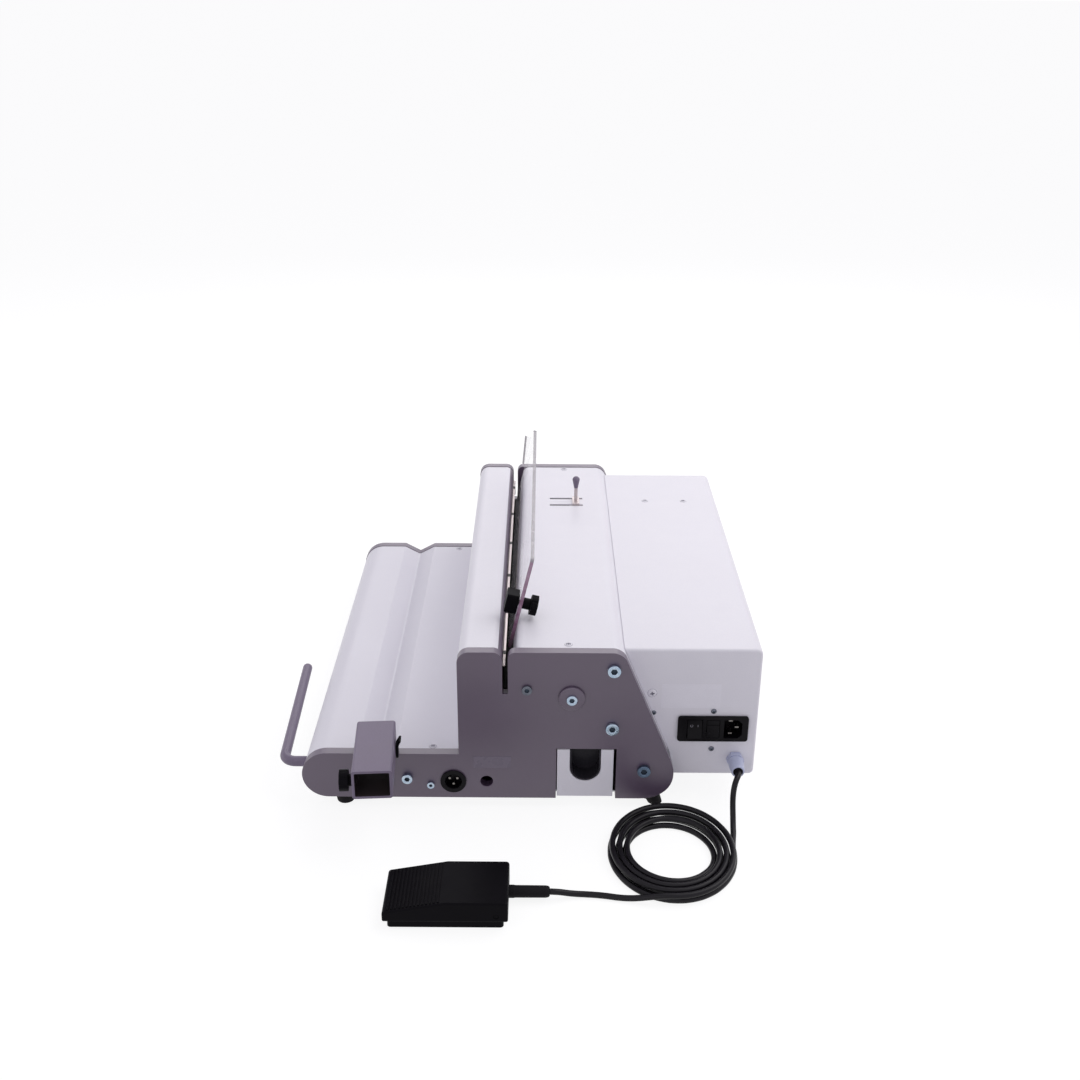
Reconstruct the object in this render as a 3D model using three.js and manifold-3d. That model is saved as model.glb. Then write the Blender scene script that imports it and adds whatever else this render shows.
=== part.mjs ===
import * as THREE from 'three';
import { mergeVertices } from 'three/addons/utils/BufferGeometryUtils.js';
import Module from 'manifold-3d';

const wasm = await Module();
wasm.setup();

// Electric coil binding machine with a foot pedal, all lengths in millimetres
// x runs along the punching width, y from the front to the rear, z up from the underside of the side plates

// Fits shared by all pieces
const touchGap = 0.3;
const runningGap = 0.5;
const overrun = 6;
const mergeDistance = 1e-4;
const straightTurn = 1e-6;

// Side plates
const bodyLength = 480;
const plateThickness = 10;
const noseRadius = 24.5;
const noseFrontY = -225.5;
const grooveReach = 52;
const grooveWidth = 37;
const grooveDepth = 10;
const towerFrontY = -76.3;
const notchHeadroom = 102.8;
const towerCornerRadius = 11.5;
const slotFrontY = -34.7;
const slotWidth = 5;
const slotDepth = 43.6;
const slotLipRadius = 9;
const rearLipRadius = 7;
const slopeTopY = 75.6;
const slopeRun = 65.8;
const rearTopRadius = 14;
const rearFootRadius = 31;
const drawerNotchFrontY = 15.6;
const drawerNotchWidth = 56.7;
const drawerNotchHeight = 55.8;

// Bent sheet covers
const sheetThickness = 1.5;
const coverInset = 0.6;
const tableCoverUnderlap = 8;
const tableCoverReturn = 75;
const funnelFootRise = 8;
const rearCoverFootZ = 46;

// Die set
const dieHeight = 28;
const dieFrontThickness = 9.3;
const guideThickness = 24.7;
const dieTopRise = 16;
const punchRowInset = 92;
const pinPitch = 6.35;
const pinRadius = 2;
const pinRise = 7;
const guideStripHeight = 9;
const guideStripInset = 30;

// Punch drive
const punchStroke = 10;
const barDepth = 11;
const barHeight = 12;
const barOverhang = 12;
const rackInset = 28;
const rackWidth = 12;
const rackTeeth = 5;
const shaftRadius = 8;
const shaftDrop = 3.5;
const pinionTeeth = 12;
const pinionModule = 5 / 3;
const pinionWidth = 14;
const pinionBarGap = 1.5;
const gearModule = 1.5;
const driveTeeth = 42;
const motorTeeth = 24;
const gearWidth = 9;
const gearInset = 36;
const backlash = 0.4;
const gearRootRoom = 0.35;
const motorSlant = THREE.MathUtils.degToRad(-10);
const pressureAngle = THREE.MathUtils.degToRad(20);
const pinionAddendumShare = 0.8;
const rackAddendumShare = 0.65;
const gearAddendumShare = 0.9;
const hubRadius = 14;
const hubLength = 8;
const bearingWall = 1.5;
const bearingOuterRadius = shaftRadius + touchGap + bearingWall;
const bearingFlange = 4;
const capRadius = 12.35;
const capDome = 3.4;
const capScrewRadius = 5;
const capScrewHeight = 2.2;

// Gear motor
const motorShaftRadius = 5;
const gearboxMargin = 8;
const gearboxDepth = 78;
const gearboxLength = 32;
const gearboxHeight = 44;
const gearboxDrop = 17;
const motorCanRadius = 30;
const motorCanLength = 90;
const motorCanBack = 54;
const motorFootWidth = 24;
const motorFootOffset = 18;
const motorFootLength = 60;

// Motor housing
const housingInset = 19;
const housingRearY = 206;
const housingTopDrop = 6.3;
const housingFloorZ = 15.5;
const housingTopRadius = 6;
const housingBendAngle = THREE.MathUtils.degToRad(20);
const housingFootRadius = 3;

// Tie rods and bolts
const rodRadius = 6;
const rodShankRadius = 4;
const rodHeadRadius = 6.2;
const rodHeadHeight = 4;
const socketRadius = 3.1;
const socketDepth = 2.4;
const topRodDrop = 17.4;
const topRodInset = 15.4;
const middleRodRise = 23.7;
const middleRodInset = 5;
const lowRodReach = 26.2;
const lowRodZ = 32.8;
const frontRodReach = 11.1;
const frontRodZ = 22.9;
const frontRodHeadRadius = 5.1;
const dieScrewInset = 7.1;
const dieScrewRise = 5;
const dieScrewHeadRadius = 4.75;
const smallScrewReach = 33.2;
const smallScrewZ = 15.1;
const smallScrewHeadRadius = 3.5;
const smallHeadHeight = 2.5;
const smallShankRadius = 2.5;

// Chip chute and chip drawer
const chuteTopDrop = 6;
const chuteFrontInset = 4;
const drawerSideGap = 0.9;
const drawerRearGap = 2.7;
const drawerFloorZ = 2.6;
const drawerHeight = 49;
const drawerWall = 1.5;
const drawerEndGap = 14;
const panelThickness = 4;
const panelTopGap = 0.8;
const pullWidth = 29.4;
const pullDepth = 20;
const pullFloorZ = 20;
const pullWall = 1.5;

// Paper support of clear acrylic
const supportLength = 363;
const supportThickness = 3.5;
const supportHeight = 95;
const supportLean = THREE.MathUtils.degToRad(13.2);
const supportFootY = -29.5;
const supportCornerRadius = 4;
const guideTrackStart = 38;
const guideTrackEnd = 8;
const guideTrackHeight = 6.4;
const guideTrackZ = 43.5;
const sideGuideWidth = 17;
const sideGuideDepth = 12;
const sideGuideHeight = 19;
const sideGuideBevel = 1.5;
const sideGuideEndInset = 11.5;
const studRadius = 2.5;
const studReach = 6;
const knobRadius = 9.75;
const knobThickness = 6.5;
const knobLobes = 8;
const knobLobeRadius = 1.6;
const knobCollarRadius = 5.5;
const knobCollarLength = 8;
const stopBladeThickness = 1.5;
const stopBladeDepth = 8;
const stopBladeFootZ = 50;
const stopBladeHeight = 35;

// Margin slider
const marginSlotInset = 111.5;
const marginSlotSpacing = 19.5;
const marginSlotWidth = 4;
const marginSlotLength = 38;
const marginSlotStart = 39.5;
const marginSlotRestInset = 7.8;
const marginLegThickness = 2.5;
const marginLegDepth = 8;
const marginCarriageThickness = 3;
const marginCarriageMargin = 7;
const marginBridgeThickness = 2;
const marginStemRadius = 2;
const marginStemHeight = 15;
const marginGripRadius = 4.2;
const marginGripHeight = 14;
const marginWaistShare = 1.1;

// Square holder tube beside the table
const tubeWidth = 36;
const tubeHeight = 29;
const tubeWall = 2.5;
const tubeLength = 72;
const tubeTableGap = 0.9;
const tubeRootInset = 10;
const tubeOffset = 1.4;
const tubeYaw = THREE.MathUtils.degToRad(3.9);
const tubeCornerRadius = 2;
const flangeWidth = 30;
const flangeHeight = 38;
const flangeThickness = 3;
const tubeKnobInset = 9;
const tubeKnobStem = 6;
const tubeKnobThickness = 8;
const clipThickness = 2.4;
const clipFlare = 3;
const clipHeight = 18;
const clipFlareHeight = 6;
const clipLength = 10;
const clipOffset = 3;

// Accessory socket and service hole in the right plate
const socketReach = 54.7;
const socketZ = 19.1;
const socketOuterRadius = 12.3;
const socketBodyRadius = 9.5;
const socketCupRadius = 8;
const socketRim = 1.6;
const socketBodyLength = 22;
const socketCupDepth = 9;
const socketPinRadius = 1.3;
const socketPinLength = 6;
const socketPinCircle = 4.2;
const socketPinCount = 3;
const holeSpacing = 31.6;
const holeZ = 18.9;
const holeRadius = 6;

// Mains inlet module with rocker switch and fuse drawer
const inletY = 163.8;
const inletZ = 67.8;
const inletWidth = 67;
const inletHeight = 27.4;
const inletRim = 2.2;
const inletCornerRadius = 3;
const inletBodyWidth = 60;
const inletBodyHeight = 22;
const inletBodyDepth = 28;
const rockerWidth = 14;
const rockerLength = 20;
const rockerInset = 9.2;
const rockerWellDepth = 12;
const rockerRise = 2.6;
const rockerBackShare = 2 / 3;
const rockerTravel = THREE.MathUtils.degToRad(12);
const fuseWidth = 12;
const fuseHeight = 19;
const fuseInset = 27.5;
const fuseDepth = 20;
const fuseRise = 0.6;
const plugWidth = 17;
const plugHeight = 20;
const plugInset = 44;
const plugDepth = 17;
const plugPinWidth = 2;
const plugPinBreadth = 4;
const plugPinLength = 13;
const plugPinSpacing = 14;
const plugEarthOffset = 4;
const inletScrewSpacing = 41.6;
const inletScrewDrop = 2.2;
const inletScrewHeadRadius = 3.2;
const inletScrewHeadHeight = 1.6;
const inletScrewShankRadius = 1.6;
const inletScrewLength = 6;

// Cable gland
const glandY = 187;
const glandZ = 34;
const glandNutRadius = 8.5;
const glandNutLength = 6;
const glandBodyRadius = 7.2;
const glandLength = 23;
const glandMouthRadius = 6.2;
const glandTipShare = 0.95;

// Front lever
const leverInset = 13;
const leverRadius = 5;
const leverCollarRadius = 8;
const leverCollarLength = 4;
const leverTail = 26;
const leverReach = 22;
const leverBend = 12;
const gripLength = 178;
const gripSplay = 7;
const leverSides = 10;
const leverSteps = 26;

// Feet
const footRadius = 9.5;
const footHeight = 10;
const footTaper = 1.2;
const footInset = 11;
const frontFootReach = 38.5;
const rearFootTilt = THREE.MathUtils.degToRad(22);
const rearFootFlange = 10.5;
const rearFootFlangeHeight = 2;
const rearFootWaist = 7.6;
const rearFootTip = 6.3;

// Cord
const cordDiameter = 5.5;
const coilX = 311.2;
const coilY = 119.1;
const coilDepthRadius = 66.5;
const coilWidthRadius = 57.6;
const coilInnerDepth = 40.5;
const coilInnerWidth = 37.6;
const coilShiftX = 4.75;
const coilShiftY = 0.5;
const coilTurns = 6.25;
const coilClimbTurns = 0.5;
const coilLayerPitch = 6;
const stepsPerTurn = 20;
const cordLift = 0.1;
const cordFloorZ = cordDiameter / 2 + cordLift - footHeight;

// Foot pedal
const pedalX = 355;
const pedalWidth = 56;
const pedalHeelY = -25.5;
const pedalLength = 105.5;
const pedalHeelHeight = 27;
const pedalToeHeight = 17;
const pedalFlat = 53.5;
const pedalSkirtZ = 7.5;
const pedalWall = 2.2;
const pedalCornerRadius = 3;
const pedalPlay = 1.6;
const pedalBaseHeight = 6;
const pedalPivotInset = 10;
const pedalPivotZ = 13.5;
const pedalPivotRadius = 2;
const pedalPostWidth = 5;
const pedalPostDepth = 9;
const pedalRibCount = 16;
const pedalRibHeight = 0.8;
const reliefInset = 17;
const reliefZ = 8;
const reliefRadius = 5.6;
const reliefTipRadius = 5.4;
const reliefLength = 35;
const reliefNeck = 8;

// Counts of flat sides on round forms
const fineSides = 24;
const roundSides = 18;
const smallSides = 12;
const hexSides = 6;
const cordSides = 8;
const arcSteps = 4;
const fullRoundShare = 0.4995;

// Places that follow from the sizes above
const halfLength = bodyLength / 2;
const towerHeight = drawerNotchHeight + notchHeadroom;
const slotFloorZ = towerHeight - slotDepth;
const innerX = halfLength - plateThickness;
const coverX = innerX - touchGap;
const tableHeight = 2 * noseRadius;
const noseCentreY = noseFrontY + noseRadius;
const grooveFrontY = noseFrontY + grooveReach;
const grooveRearY = grooveFrontY + grooveWidth;
const slotRearY = slotFrontY + slotWidth;
const drawerNotchRearY = drawerNotchFrontY + drawerNotchWidth;
const tableTop = tableHeight - coverInset;
const coverTop = towerHeight - coverInset;
const slopeAngle = Math.atan2(slopeRun, towerHeight);
const slopeInset = coverInset / Math.cos(slopeAngle);
const bendY = slopeTopY + slopeRun - rearFootRadius / Math.tan(Math.PI / 4 - slopeAngle / 2);
const dieTopZ = slotFloorZ + dieTopRise;
const dieBottomZ = dieTopZ - dieHeight;
const dieFrontY = slotFrontY - dieFrontThickness;
const guideRearY = slotRearY + guideThickness;
const punchRowLength = bodyLength - 2 * punchRowInset;
const pinCount = Math.floor(punchRowLength / pinPitch);
const pinZ = slotFloorZ + pinRise;
const barFrontY = guideRearY + punchStroke + runningGap;
const barRearY = barFrontY + barDepth;
const rackOffsetX = punchRowLength / 2 - rackInset;
const pinionRadius = pinionModule * pinionTeeth / 2;
const pinionTipRadius = pinionRadius + pinionAddendumShare * pinionModule;
const shaftY = barRearY + pinionTipRadius + pinionBarGap;
const shaftZ = slotFloorZ - shaftDrop;
const driveRadius = gearModule * driveTeeth / 2;
const motorRadius = gearModule * motorTeeth / 2;
const motorY = shaftY + (driveRadius + motorRadius) * Math.cos(motorSlant);
const motorZ = shaftZ + (driveRadius + motorRadius) * Math.sin(motorSlant);
const gearX = -innerX + gearInset;
const gearboxX = gearX + gearWidth + runningGap;
const gearboxLowZ = motorZ - gearboxDrop;
const housingX = halfLength - housingInset;
const housingTopZ = towerHeight - housingTopDrop;
const supportFootZ = dieTopZ + touchGap + supportThickness / 2 * Math.sin(supportLean);
const sideGuideX = supportLength / 2 - sideGuideEndInset;
const marginLeftSlotX = marginSlotInset - halfLength;
const marginY = marginSlotStart + slotRearY + marginSlotLength - marginSlotRestInset;
const grooveMiddleY = (grooveFrontY + grooveRearY) / 2;
const leverX = innerX - leverInset;
const tubeRootX = halfLength - tubeRootInset;
const tubeY = grooveMiddleY + tubeOffset;
const tubeFootZ = tableHeight + tubeTableGap;
const drawerFrontY = drawerNotchFrontY + drawerSideGap;
const drawerRearY = drawerNotchRearY - drawerRearGap;
const panelTopZ = drawerNotchHeight - panelTopGap;
const inletScrewMiddle = inletZ - inletScrewDrop;
const inletScrewPlaces = [inletScrewMiddle + inletScrewSpacing / 2, inletScrewMiddle - inletScrewSpacing / 2];
const reliefX = pedalX + reliefInset;
const slopeAt = (z) => slopeTopY + slopeRun * (1 - z / towerHeight);

// Looks of the materials
const finish = (hex, roughness, metalness) =>
  new THREE.MeshStandardMaterial({ color: hex, roughness, metalness });
const plateCoat = finish(0x5d5562, 0.5, 0.1);
const whiteCoat = finish(0xe0dee4, 0.45, 0.05);
const steel = finish(0xb4b6bc, 0.3, 0.9);
const zinc = finish(0xc4ccd6, 0.3, 0.9);
const darkSteel = finish(0x4a464a, 0.45, 0.7);
const blackPlastic = finish(0x1c1b20, 0.5, 0);
const acrylic = finish(0xd8c8d6, 0.1, 0);
const taupeCoat = finish(0x7e7980, 0.45, 0.1);
const glandGrey = finish(0x9296b1, 0.5, 0);
const cordBlack = finish(0x231d27, 0.6, 0);
const rubber = finish(0x1b191c, 0.8, 0);

// Solids from closed geometry, with the faces turned outwards
function bare(geometry) {
  const copy = geometry.clone();
  for (const name of Object.keys(copy.attributes)) {
    if (name !== 'position') copy.deleteAttribute(name);
  }
  return mergeVertices(copy, mergeDistance);
}

function signedVolume(points, triangles) {
  const a = new THREE.Vector3();
  const b = new THREE.Vector3();
  const c = new THREE.Vector3();
  let volume = 0;
  for (let i = 0; i < triangles.length; i += 3) {
    a.fromArray(points, 3 * triangles[i]);
    b.fromArray(points, 3 * triangles[i + 1]);
    c.fromArray(points, 3 * triangles[i + 2]);
    volume += a.dot(b.cross(c));
  }
  return volume;
}

function solid(geometry) {
  const merged = bare(geometry);
  const points = new Float32Array(merged.attributes.position.array);
  const kept = [];
  const index = merged.index.array;
  for (let i = 0; i < index.length; i += 3) {
    const [a, b, c] = [index[i], index[i + 1], index[i + 2]];
    if (a !== b && b !== c && c !== a) kept.push(a, b, c);
  }
  if (signedVolume(points, kept) < 0) kept.reverse();
  const mesh = new wasm.Mesh({ numProp: 3, vertProperties: points, triVerts: new Uint32Array(kept) });
  return new wasm.Manifold(mesh);
}

function geometryOf(body) {
  const mesh = body.getMesh();
  const geometry = new THREE.BufferGeometry();
  geometry.setAttribute('position', new THREE.BufferAttribute(new Float32Array(mesh.vertProperties), 3));
  geometry.setIndex(new THREE.BufferAttribute(new Uint32Array(mesh.triVerts), 1));
  const flat = geometry.toNonIndexed();
  flat.computeVertexNormals();
  return flat;
}

const join = (first, ...rest) => rest.reduce((sum, next) => sum.add(next), first);
const cut = (first, ...rest) => rest.reduce((sum, next) => sum.subtract(next), first);

// Flat outlines from corners, each corner as two places and a radius
function roundedOutline(corners, path = new THREE.Shape()) {
  const count = corners.length;
  corners.forEach(([x, y, radius = 0], i) => {
    const before = corners[(i + count - 1) % count];
    const after = corners[(i + 1) % count];
    const toBefore = new THREE.Vector2(before[0] - x, before[1] - y).normalize();
    const toAfter = new THREE.Vector2(after[0] - x, after[1] - y).normalize();
    const half = Math.acos(THREE.MathUtils.clamp(toBefore.dot(toAfter), -1, 1)) / 2;
    const turn = toBefore.cross(toAfter);
    if (radius <= 0 || Math.abs(turn) < straightTurn) {
      if (i === 0) path.moveTo(x, y);
      else path.lineTo(x, y);
      return;
    }
    const setback = radius / Math.tan(half);
    const start = new THREE.Vector2(x, y).addScaledVector(toBefore, setback);
    const end = new THREE.Vector2(x, y).addScaledVector(toAfter, setback);
    const middle = toBefore.clone().add(toAfter).normalize();
    const centre = new THREE.Vector2(x, y).addScaledVector(middle, radius / Math.sin(half));
    if (i === 0) path.moveTo(start.x, start.y);
    else path.lineTo(start.x, start.y);
    const from = Math.atan2(start.y - centre.y, start.x - centre.x);
    const to = Math.atan2(end.y - centre.y, end.x - centre.x);
    path.absarc(centre.x, centre.y, radius, from, to, turn > 0);
  });
  path.closePath();
  return path;
}

// A bent sheet follows its outer corners, its inner face lies one thickness to the right of the way
function sheetOutline(corners, thickness) {
  const normals = corners.slice(1).map((corner, i) => {
    const way = new THREE.Vector2(corner[0] - corners[i][0], corner[1] - corners[i][1]).normalize();
    return new THREE.Vector2(way.y, -way.x);
  });
  const inner = corners.map(([x, y, radius = 0], i) => {
    const first = normals[Math.max(i - 1, 0)];
    const second = normals[Math.min(i, normals.length - 1)];
    const mitre = first.clone().add(second);
    const shift = mitre.multiplyScalar(thickness / (1 + first.dot(second)));
    const bend = first.cross(second);
    const innerRadius = radius > 0 ? Math.max(radius + Math.sign(bend) * thickness, 0) : 0;
    return [x + shift.x, y + shift.y, innerRadius];
  });
  return roundedOutline([...corners, ...inner.reverse()]);
}

// Prisms and rods along each axis
const axisX = new THREE.Vector3(1, 0, 0);
const axisY = new THREE.Vector3(0, 1, 0);
const axisZ = new THREE.Vector3(0, 0, 1);

function prism(shape, depth) {
  return new THREE.ExtrudeGeometry(shape, { depth, bevelEnabled: false, curveSegments: arcSteps, steps: 1 });
}

function alongX(shape, from, to) {
  const turned = new THREE.Matrix4().makeBasis(axisY, axisZ, axisX);
  return solid(prism(shape, to - from).applyMatrix4(turned).translate(from, 0, 0));
}

function alongY(shape, from, to) {
  const turned = new THREE.Matrix4().makeBasis(axisX, axisZ, axisY.clone().negate());
  return solid(prism(shape, to - from).applyMatrix4(turned).translate(0, to, 0));
}

function alongZ(shape, from, to) {
  return solid(prism(shape, to - from).translate(0, 0, from));
}

function block([x0, x1], [y0, y1], [z0, z1]) {
  const geometry = new THREE.BoxGeometry(x1 - x0, y1 - y0, z1 - z0);
  return solid(geometry.translate((x0 + x1) / 2, (y0 + y1) / 2, (z0 + z1) / 2));
}

function centred(middle, width) {
  return [middle - width / 2, middle + width / 2];
}

function rodX(radius, from, to, y, z, sides = roundSides) {
  const geometry = new THREE.CylinderGeometry(radius, radius, to - from, sides);
  return solid(geometry.rotateZ(-Math.PI / 2).translate((from + to) / 2, y, z));
}

function rodY(radius, from, to, x, z, sides = roundSides) {
  const geometry = new THREE.CylinderGeometry(radius, radius, to - from, sides);
  return solid(geometry.translate(x, (from + to) / 2, z));
}

function rodZ(radius, from, to, x, y, sides = roundSides) {
  const geometry = new THREE.CylinderGeometry(radius, radius, to - from, sides);
  return solid(geometry.rotateX(Math.PI / 2).translate(x, y, (from + to) / 2));
}

// A turned body from places along its axis and radii, laid along x, y or z
function turnedBody(profile, sides) {
  return new THREE.LatheGeometry(profile.map(([place, radius]) => new THREE.Vector2(radius, place)), sides);
}

function turnedX(profile, y, z, sides = roundSides) {
  return solid(turnedBody(profile, sides).rotateZ(-Math.PI / 2).translate(0, y, z));
}

function turnedY(profile, x, z, sides = roundSides) {
  return solid(turnedBody(profile, sides).translate(x, 0, z));
}

function turnedZ(profile, x, y, sides = roundSides) {
  return solid(turnedBody(profile, sides).rotateX(Math.PI / 2).translate(x, y, 0));
}

// A smooth curve through points, and a round tube that follows a curve
function routeCurve(points) {
  const places = points.map((point) => new THREE.Vector3(...point));
  return new THREE.CatmullRomCurve3(places, false, 'centripetal');
}

function tube(curve, radius, sides, steps) {
  const section = new THREE.Shape();
  for (let i = 0; i < sides; i += 1) {
    const angle = 2 * Math.PI * i / sides;
    const point = [radius * Math.cos(angle), radius * Math.sin(angle)];
    if (i === 0) section.moveTo(...point);
    else section.lineTo(...point);
  }
  section.closePath();
  return solid(new THREE.ExtrudeGeometry(section, { extrudePath: curve, steps, bevelEnabled: false }));
}

// Gear outline with involute flanks, one tooth pointing along the given angle
function gearOutline(teeth, module, addendum, dedendum, toothAngle) {
  const pitchRadius = module * teeth / 2;
  const baseRadius = pitchRadius * Math.cos(pressureAngle);
  const involute = (angle) => Math.tan(angle) - angle;
  const rootRadius = pitchRadius - dedendum;
  const radii = [rootRadius, Math.max(rootRadius, baseRadius), pitchRadius, pitchRadius + addendum];
  const flank = radii.filter((radius, i) => i === 0 || radius > radii[i - 1]);
  const halfTooth = (Math.PI * module / 2 - backlash / 2) / (2 * pitchRadius);
  const halfAngle = (radius) => {
    const angle = Math.acos(Math.min(1, baseRadius / radius));
    return halfTooth + involute(pressureAngle) - involute(angle);
  };
  const points = [];
  for (let i = 0; i < teeth; i += 1) {
    const middle = toothAngle + 2 * Math.PI * i / teeth;
    flank.forEach((radius) => points.push([radius, middle - halfAngle(radius)]));
    [...flank].reverse().forEach((radius) => points.push([radius, middle + halfAngle(radius)]));
  }
  return points.map(([radius, angle]) => [radius * Math.cos(angle), radius * Math.sin(angle)]);
}

function gearBody(points, from, to, y, z) {
  return alongX(roundedOutline(points.map(([a, b]) => [y + a, z + b])), from, to);
}

// Scene tree: the machine stands on its feet, and the paper support leans back inside it
const model = new THREE.Group();
const machine = new THREE.Group();
const support = new THREE.Group();
model.add(machine);
machine.add(support);
support.position.set(0, supportFootY, supportFootZ);
support.rotation.x = -supportLean;

function place(name, body, look, group = machine) {
  const mesh = new THREE.Mesh(geometryOf(body), look);
  mesh.name = name;
  group.add(mesh);
  return mesh;
}

// Where the fasteners and sockets sit in the side plates
const topRodZ = towerHeight - topRodDrop;
const middleRodZ = drawerNotchHeight + middleRodRise;
const rods = {
  rear_top: [slopeAt(topRodZ) - topRodInset, topRodZ],
  rear_middle: [drawerNotchRearY - middleRodInset, middleRodZ],
  rear_low: [drawerNotchRearY + lowRodReach, lowRodZ],
  front: [grooveRearY + frontRodReach, frontRodZ],
};
const dieScrewPlace = [guideRearY - dieScrewInset, slotFloorZ + dieScrewRise];
const smallScrewPlace = [grooveRearY + smallScrewReach, smallScrewZ];
const socketPlace = [grooveRearY + socketReach, socketZ];
const holePlace = [grooveRearY + socketReach + holeSpacing, holeZ];

// Side plates with the paper slot, the table groove and the drawer notch
function plateOutline() {
  const tableZ = tableHeight;
  return roundedOutline([
    [noseFrontY, 0, noseRadius],
    [drawerNotchFrontY, 0],
    [drawerNotchFrontY, drawerNotchHeight],
    [drawerNotchRearY, drawerNotchHeight],
    [drawerNotchRearY, 0],
    [slopeAt(0), 0, rearFootRadius],
    [slopeTopY, towerHeight, rearTopRadius],
    [slotRearY, towerHeight, rearLipRadius],
    [slotRearY, slotFloorZ],
    [slotFrontY, slotFloorZ],
    [slotFrontY, towerHeight, slotLipRadius],
    [towerFrontY, towerHeight, towerCornerRadius],
    [towerFrontY, tableZ],
    [grooveRearY, tableZ],
    [grooveMiddleY, tableZ - grooveDepth],
    [grooveFrontY, tableZ],
    [noseFrontY, tableZ, noseRadius],
  ]);
}

function sidePlate(side) {
  const [from, to] = side > 0 ? [innerX, halfLength] : [-halfLength, -innerX];
  const bore = (radius, [y, z], sides) => rodX(radius, from - overrun, to + overrun, y, z, sides);
  const holes = [
    bore(bearingOuterRadius + touchGap, [shaftY, shaftZ]),
    ...Object.values(rods).map((spot) => bore(rodShankRadius + touchGap, spot, smallSides)),
  ];
  if (side > 0) {
    holes.push(bore(smallShankRadius + touchGap, dieScrewPlace, smallSides));
    holes.push(bore(smallShankRadius + touchGap, smallScrewPlace, smallSides));
    holes.push(bore(socketBodyRadius + touchGap, socketPlace));
    holes.push(bore(holeRadius, holePlace));
  }
  return cut(alongX(plateOutline(), from, to), ...holes);
}

// Sheet metal between the plates
function basePlate() {
  const frontY = noseFrontY + tableCoverReturn + runningGap;
  const rearZ = rearCoverFootZ - touchGap;
  return alongX(sheetOutline([
    [slopeAt(rearZ) - slopeInset, rearZ],
    [slopeAt(coverInset) - slopeInset, coverInset, rearFootRadius - coverInset],
    [frontY, coverInset],
  ], sheetThickness), -coverX, coverX);
}

function frontTableCover() {
  const noseY = noseFrontY + coverInset;
  const bent = noseRadius - coverInset;
  const body = alongX(sheetOutline([
    [noseFrontY + tableCoverReturn, coverInset],
    [noseY, coverInset, bent],
    [noseY, tableTop, bent],
    [grooveFrontY, tableTop],
    [grooveMiddleY, tableTop - grooveDepth],
    [grooveRearY, tableTop],
    [towerFrontY + tableCoverUnderlap, tableTop],
  ], sheetThickness), -coverX, coverX);
  const leverHole = rodY(leverRadius + runningGap, noseY - overrun, noseCentreY, leverX, noseRadius);
  return cut(body, leverHole);
}

function towerCover() {
  return alongX(sheetOutline([
    [towerFrontY + coverInset, tableTop + touchGap],
    [towerFrontY + coverInset, coverTop, towerCornerRadius - coverInset],
    [slotFrontY - coverInset, coverTop, slotLipRadius - coverInset],
    [slotFrontY - coverInset, dieTopZ + guideStripHeight + runningGap],
  ], sheetThickness), -coverX, coverX);
}

function rearCover() {
  const leanAt = (z) => supportFootY + (z - supportFootZ) * Math.tan(supportLean)
    + (supportThickness / 2 + touchGap) / Math.cos(supportLean);
  const body = alongX(sheetOutline([
    [leanAt(dieTopZ + funnelFootRise), dieTopZ + funnelFootRise],
    [leanAt(coverTop), coverTop, rearLipRadius / 2],
    [slopeAt(coverTop) - slopeInset, coverTop, rearTopRadius - coverInset],
    [slopeAt(rearCoverFootZ) - slopeInset, rearCoverFootZ],
  ], sheetThickness), -coverX, coverX);
  const slots = [0, marginSlotSpacing].map((offset) => block(
    centred(marginLeftSlotX + offset, marginSlotWidth),
    [marginSlotStart + slotRearY, marginSlotStart + slotRearY + marginSlotLength],
    [coverTop - overrun, coverTop + overrun],
  ));
  const window = block(
    [gearX - gearboxMargin, gearboxX + gearboxLength + gearboxMargin],
    [slopeTopY, slopeAt(0)],
    [gearboxLowZ - gearboxMargin / 2, gearboxLowZ + gearboxHeight + gearboxMargin / 2],
  );
  return cut(body, ...slots, window);
}

function motorHousing() {
  const inset = slopeInset - touchGap;
  const low = housingFloorZ;
  const high = housingTopZ;
  const wall = sheetThickness;
  const reach = rearFootRadius - inset * Math.cos(slopeAngle);
  const corner = reach / Math.cos((slopeAngle + housingBendAngle) / 2);
  const cornerAngle = (slopeAngle - housingBendAngle) / 2;
  const bendLowZ = rearFootRadius - reach * Math.sin(housingBendAngle);
  const lowY = bendY + reach * Math.cos(housingBendAngle) - (bendLowZ - low) * Math.tan(housingBendAngle);
  const outside = roundedOutline([
    [bendY + corner * Math.cos(cornerAngle), rearFootRadius + corner * Math.sin(cornerAngle), reach],
    [lowY, low],
    [housingRearY, low, housingFootRadius],
    [housingRearY, high, housingTopRadius],
    [slopeAt(high) - inset, high],
  ]);
  const inside = roundedOutline([
    [lowY - overrun, low + wall],
    [housingRearY - wall, low + wall, housingFootRadius - wall],
    [housingRearY - wall, high - wall, housingTopRadius - wall],
    [slopeAt(high - wall) - inset - overrun, high - wall],
  ]);
  const ends = [housingX - overrun, housingX + overrun];
  const bore = (radius, y, z) => rodX(radius + touchGap, ...ends, y, z, smallSides);
  const inletWindow = block(
    ends,
    centred(inletY, inletBodyWidth + 2 * touchGap),
    centred(inletZ, inletBodyHeight + 2 * touchGap),
  );
  return cut(
    alongX(outside, -housingX, housingX),
    alongX(inside, wall - housingX, housingX - wall),
    inletWindow,
    bore(glandBodyRadius / 2, glandY, glandZ),
    ...inletScrewPlaces.map((z) => bore(inletScrewShankRadius, inletY, z)),
  );
}

// Die set in three bars, with a row of punch holes through the front and rear ones
function pinPlaces() {
  return Array.from({ length: pinCount }, (_, i) => (i - (pinCount - 1) / 2) * pinPitch);
}

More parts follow.
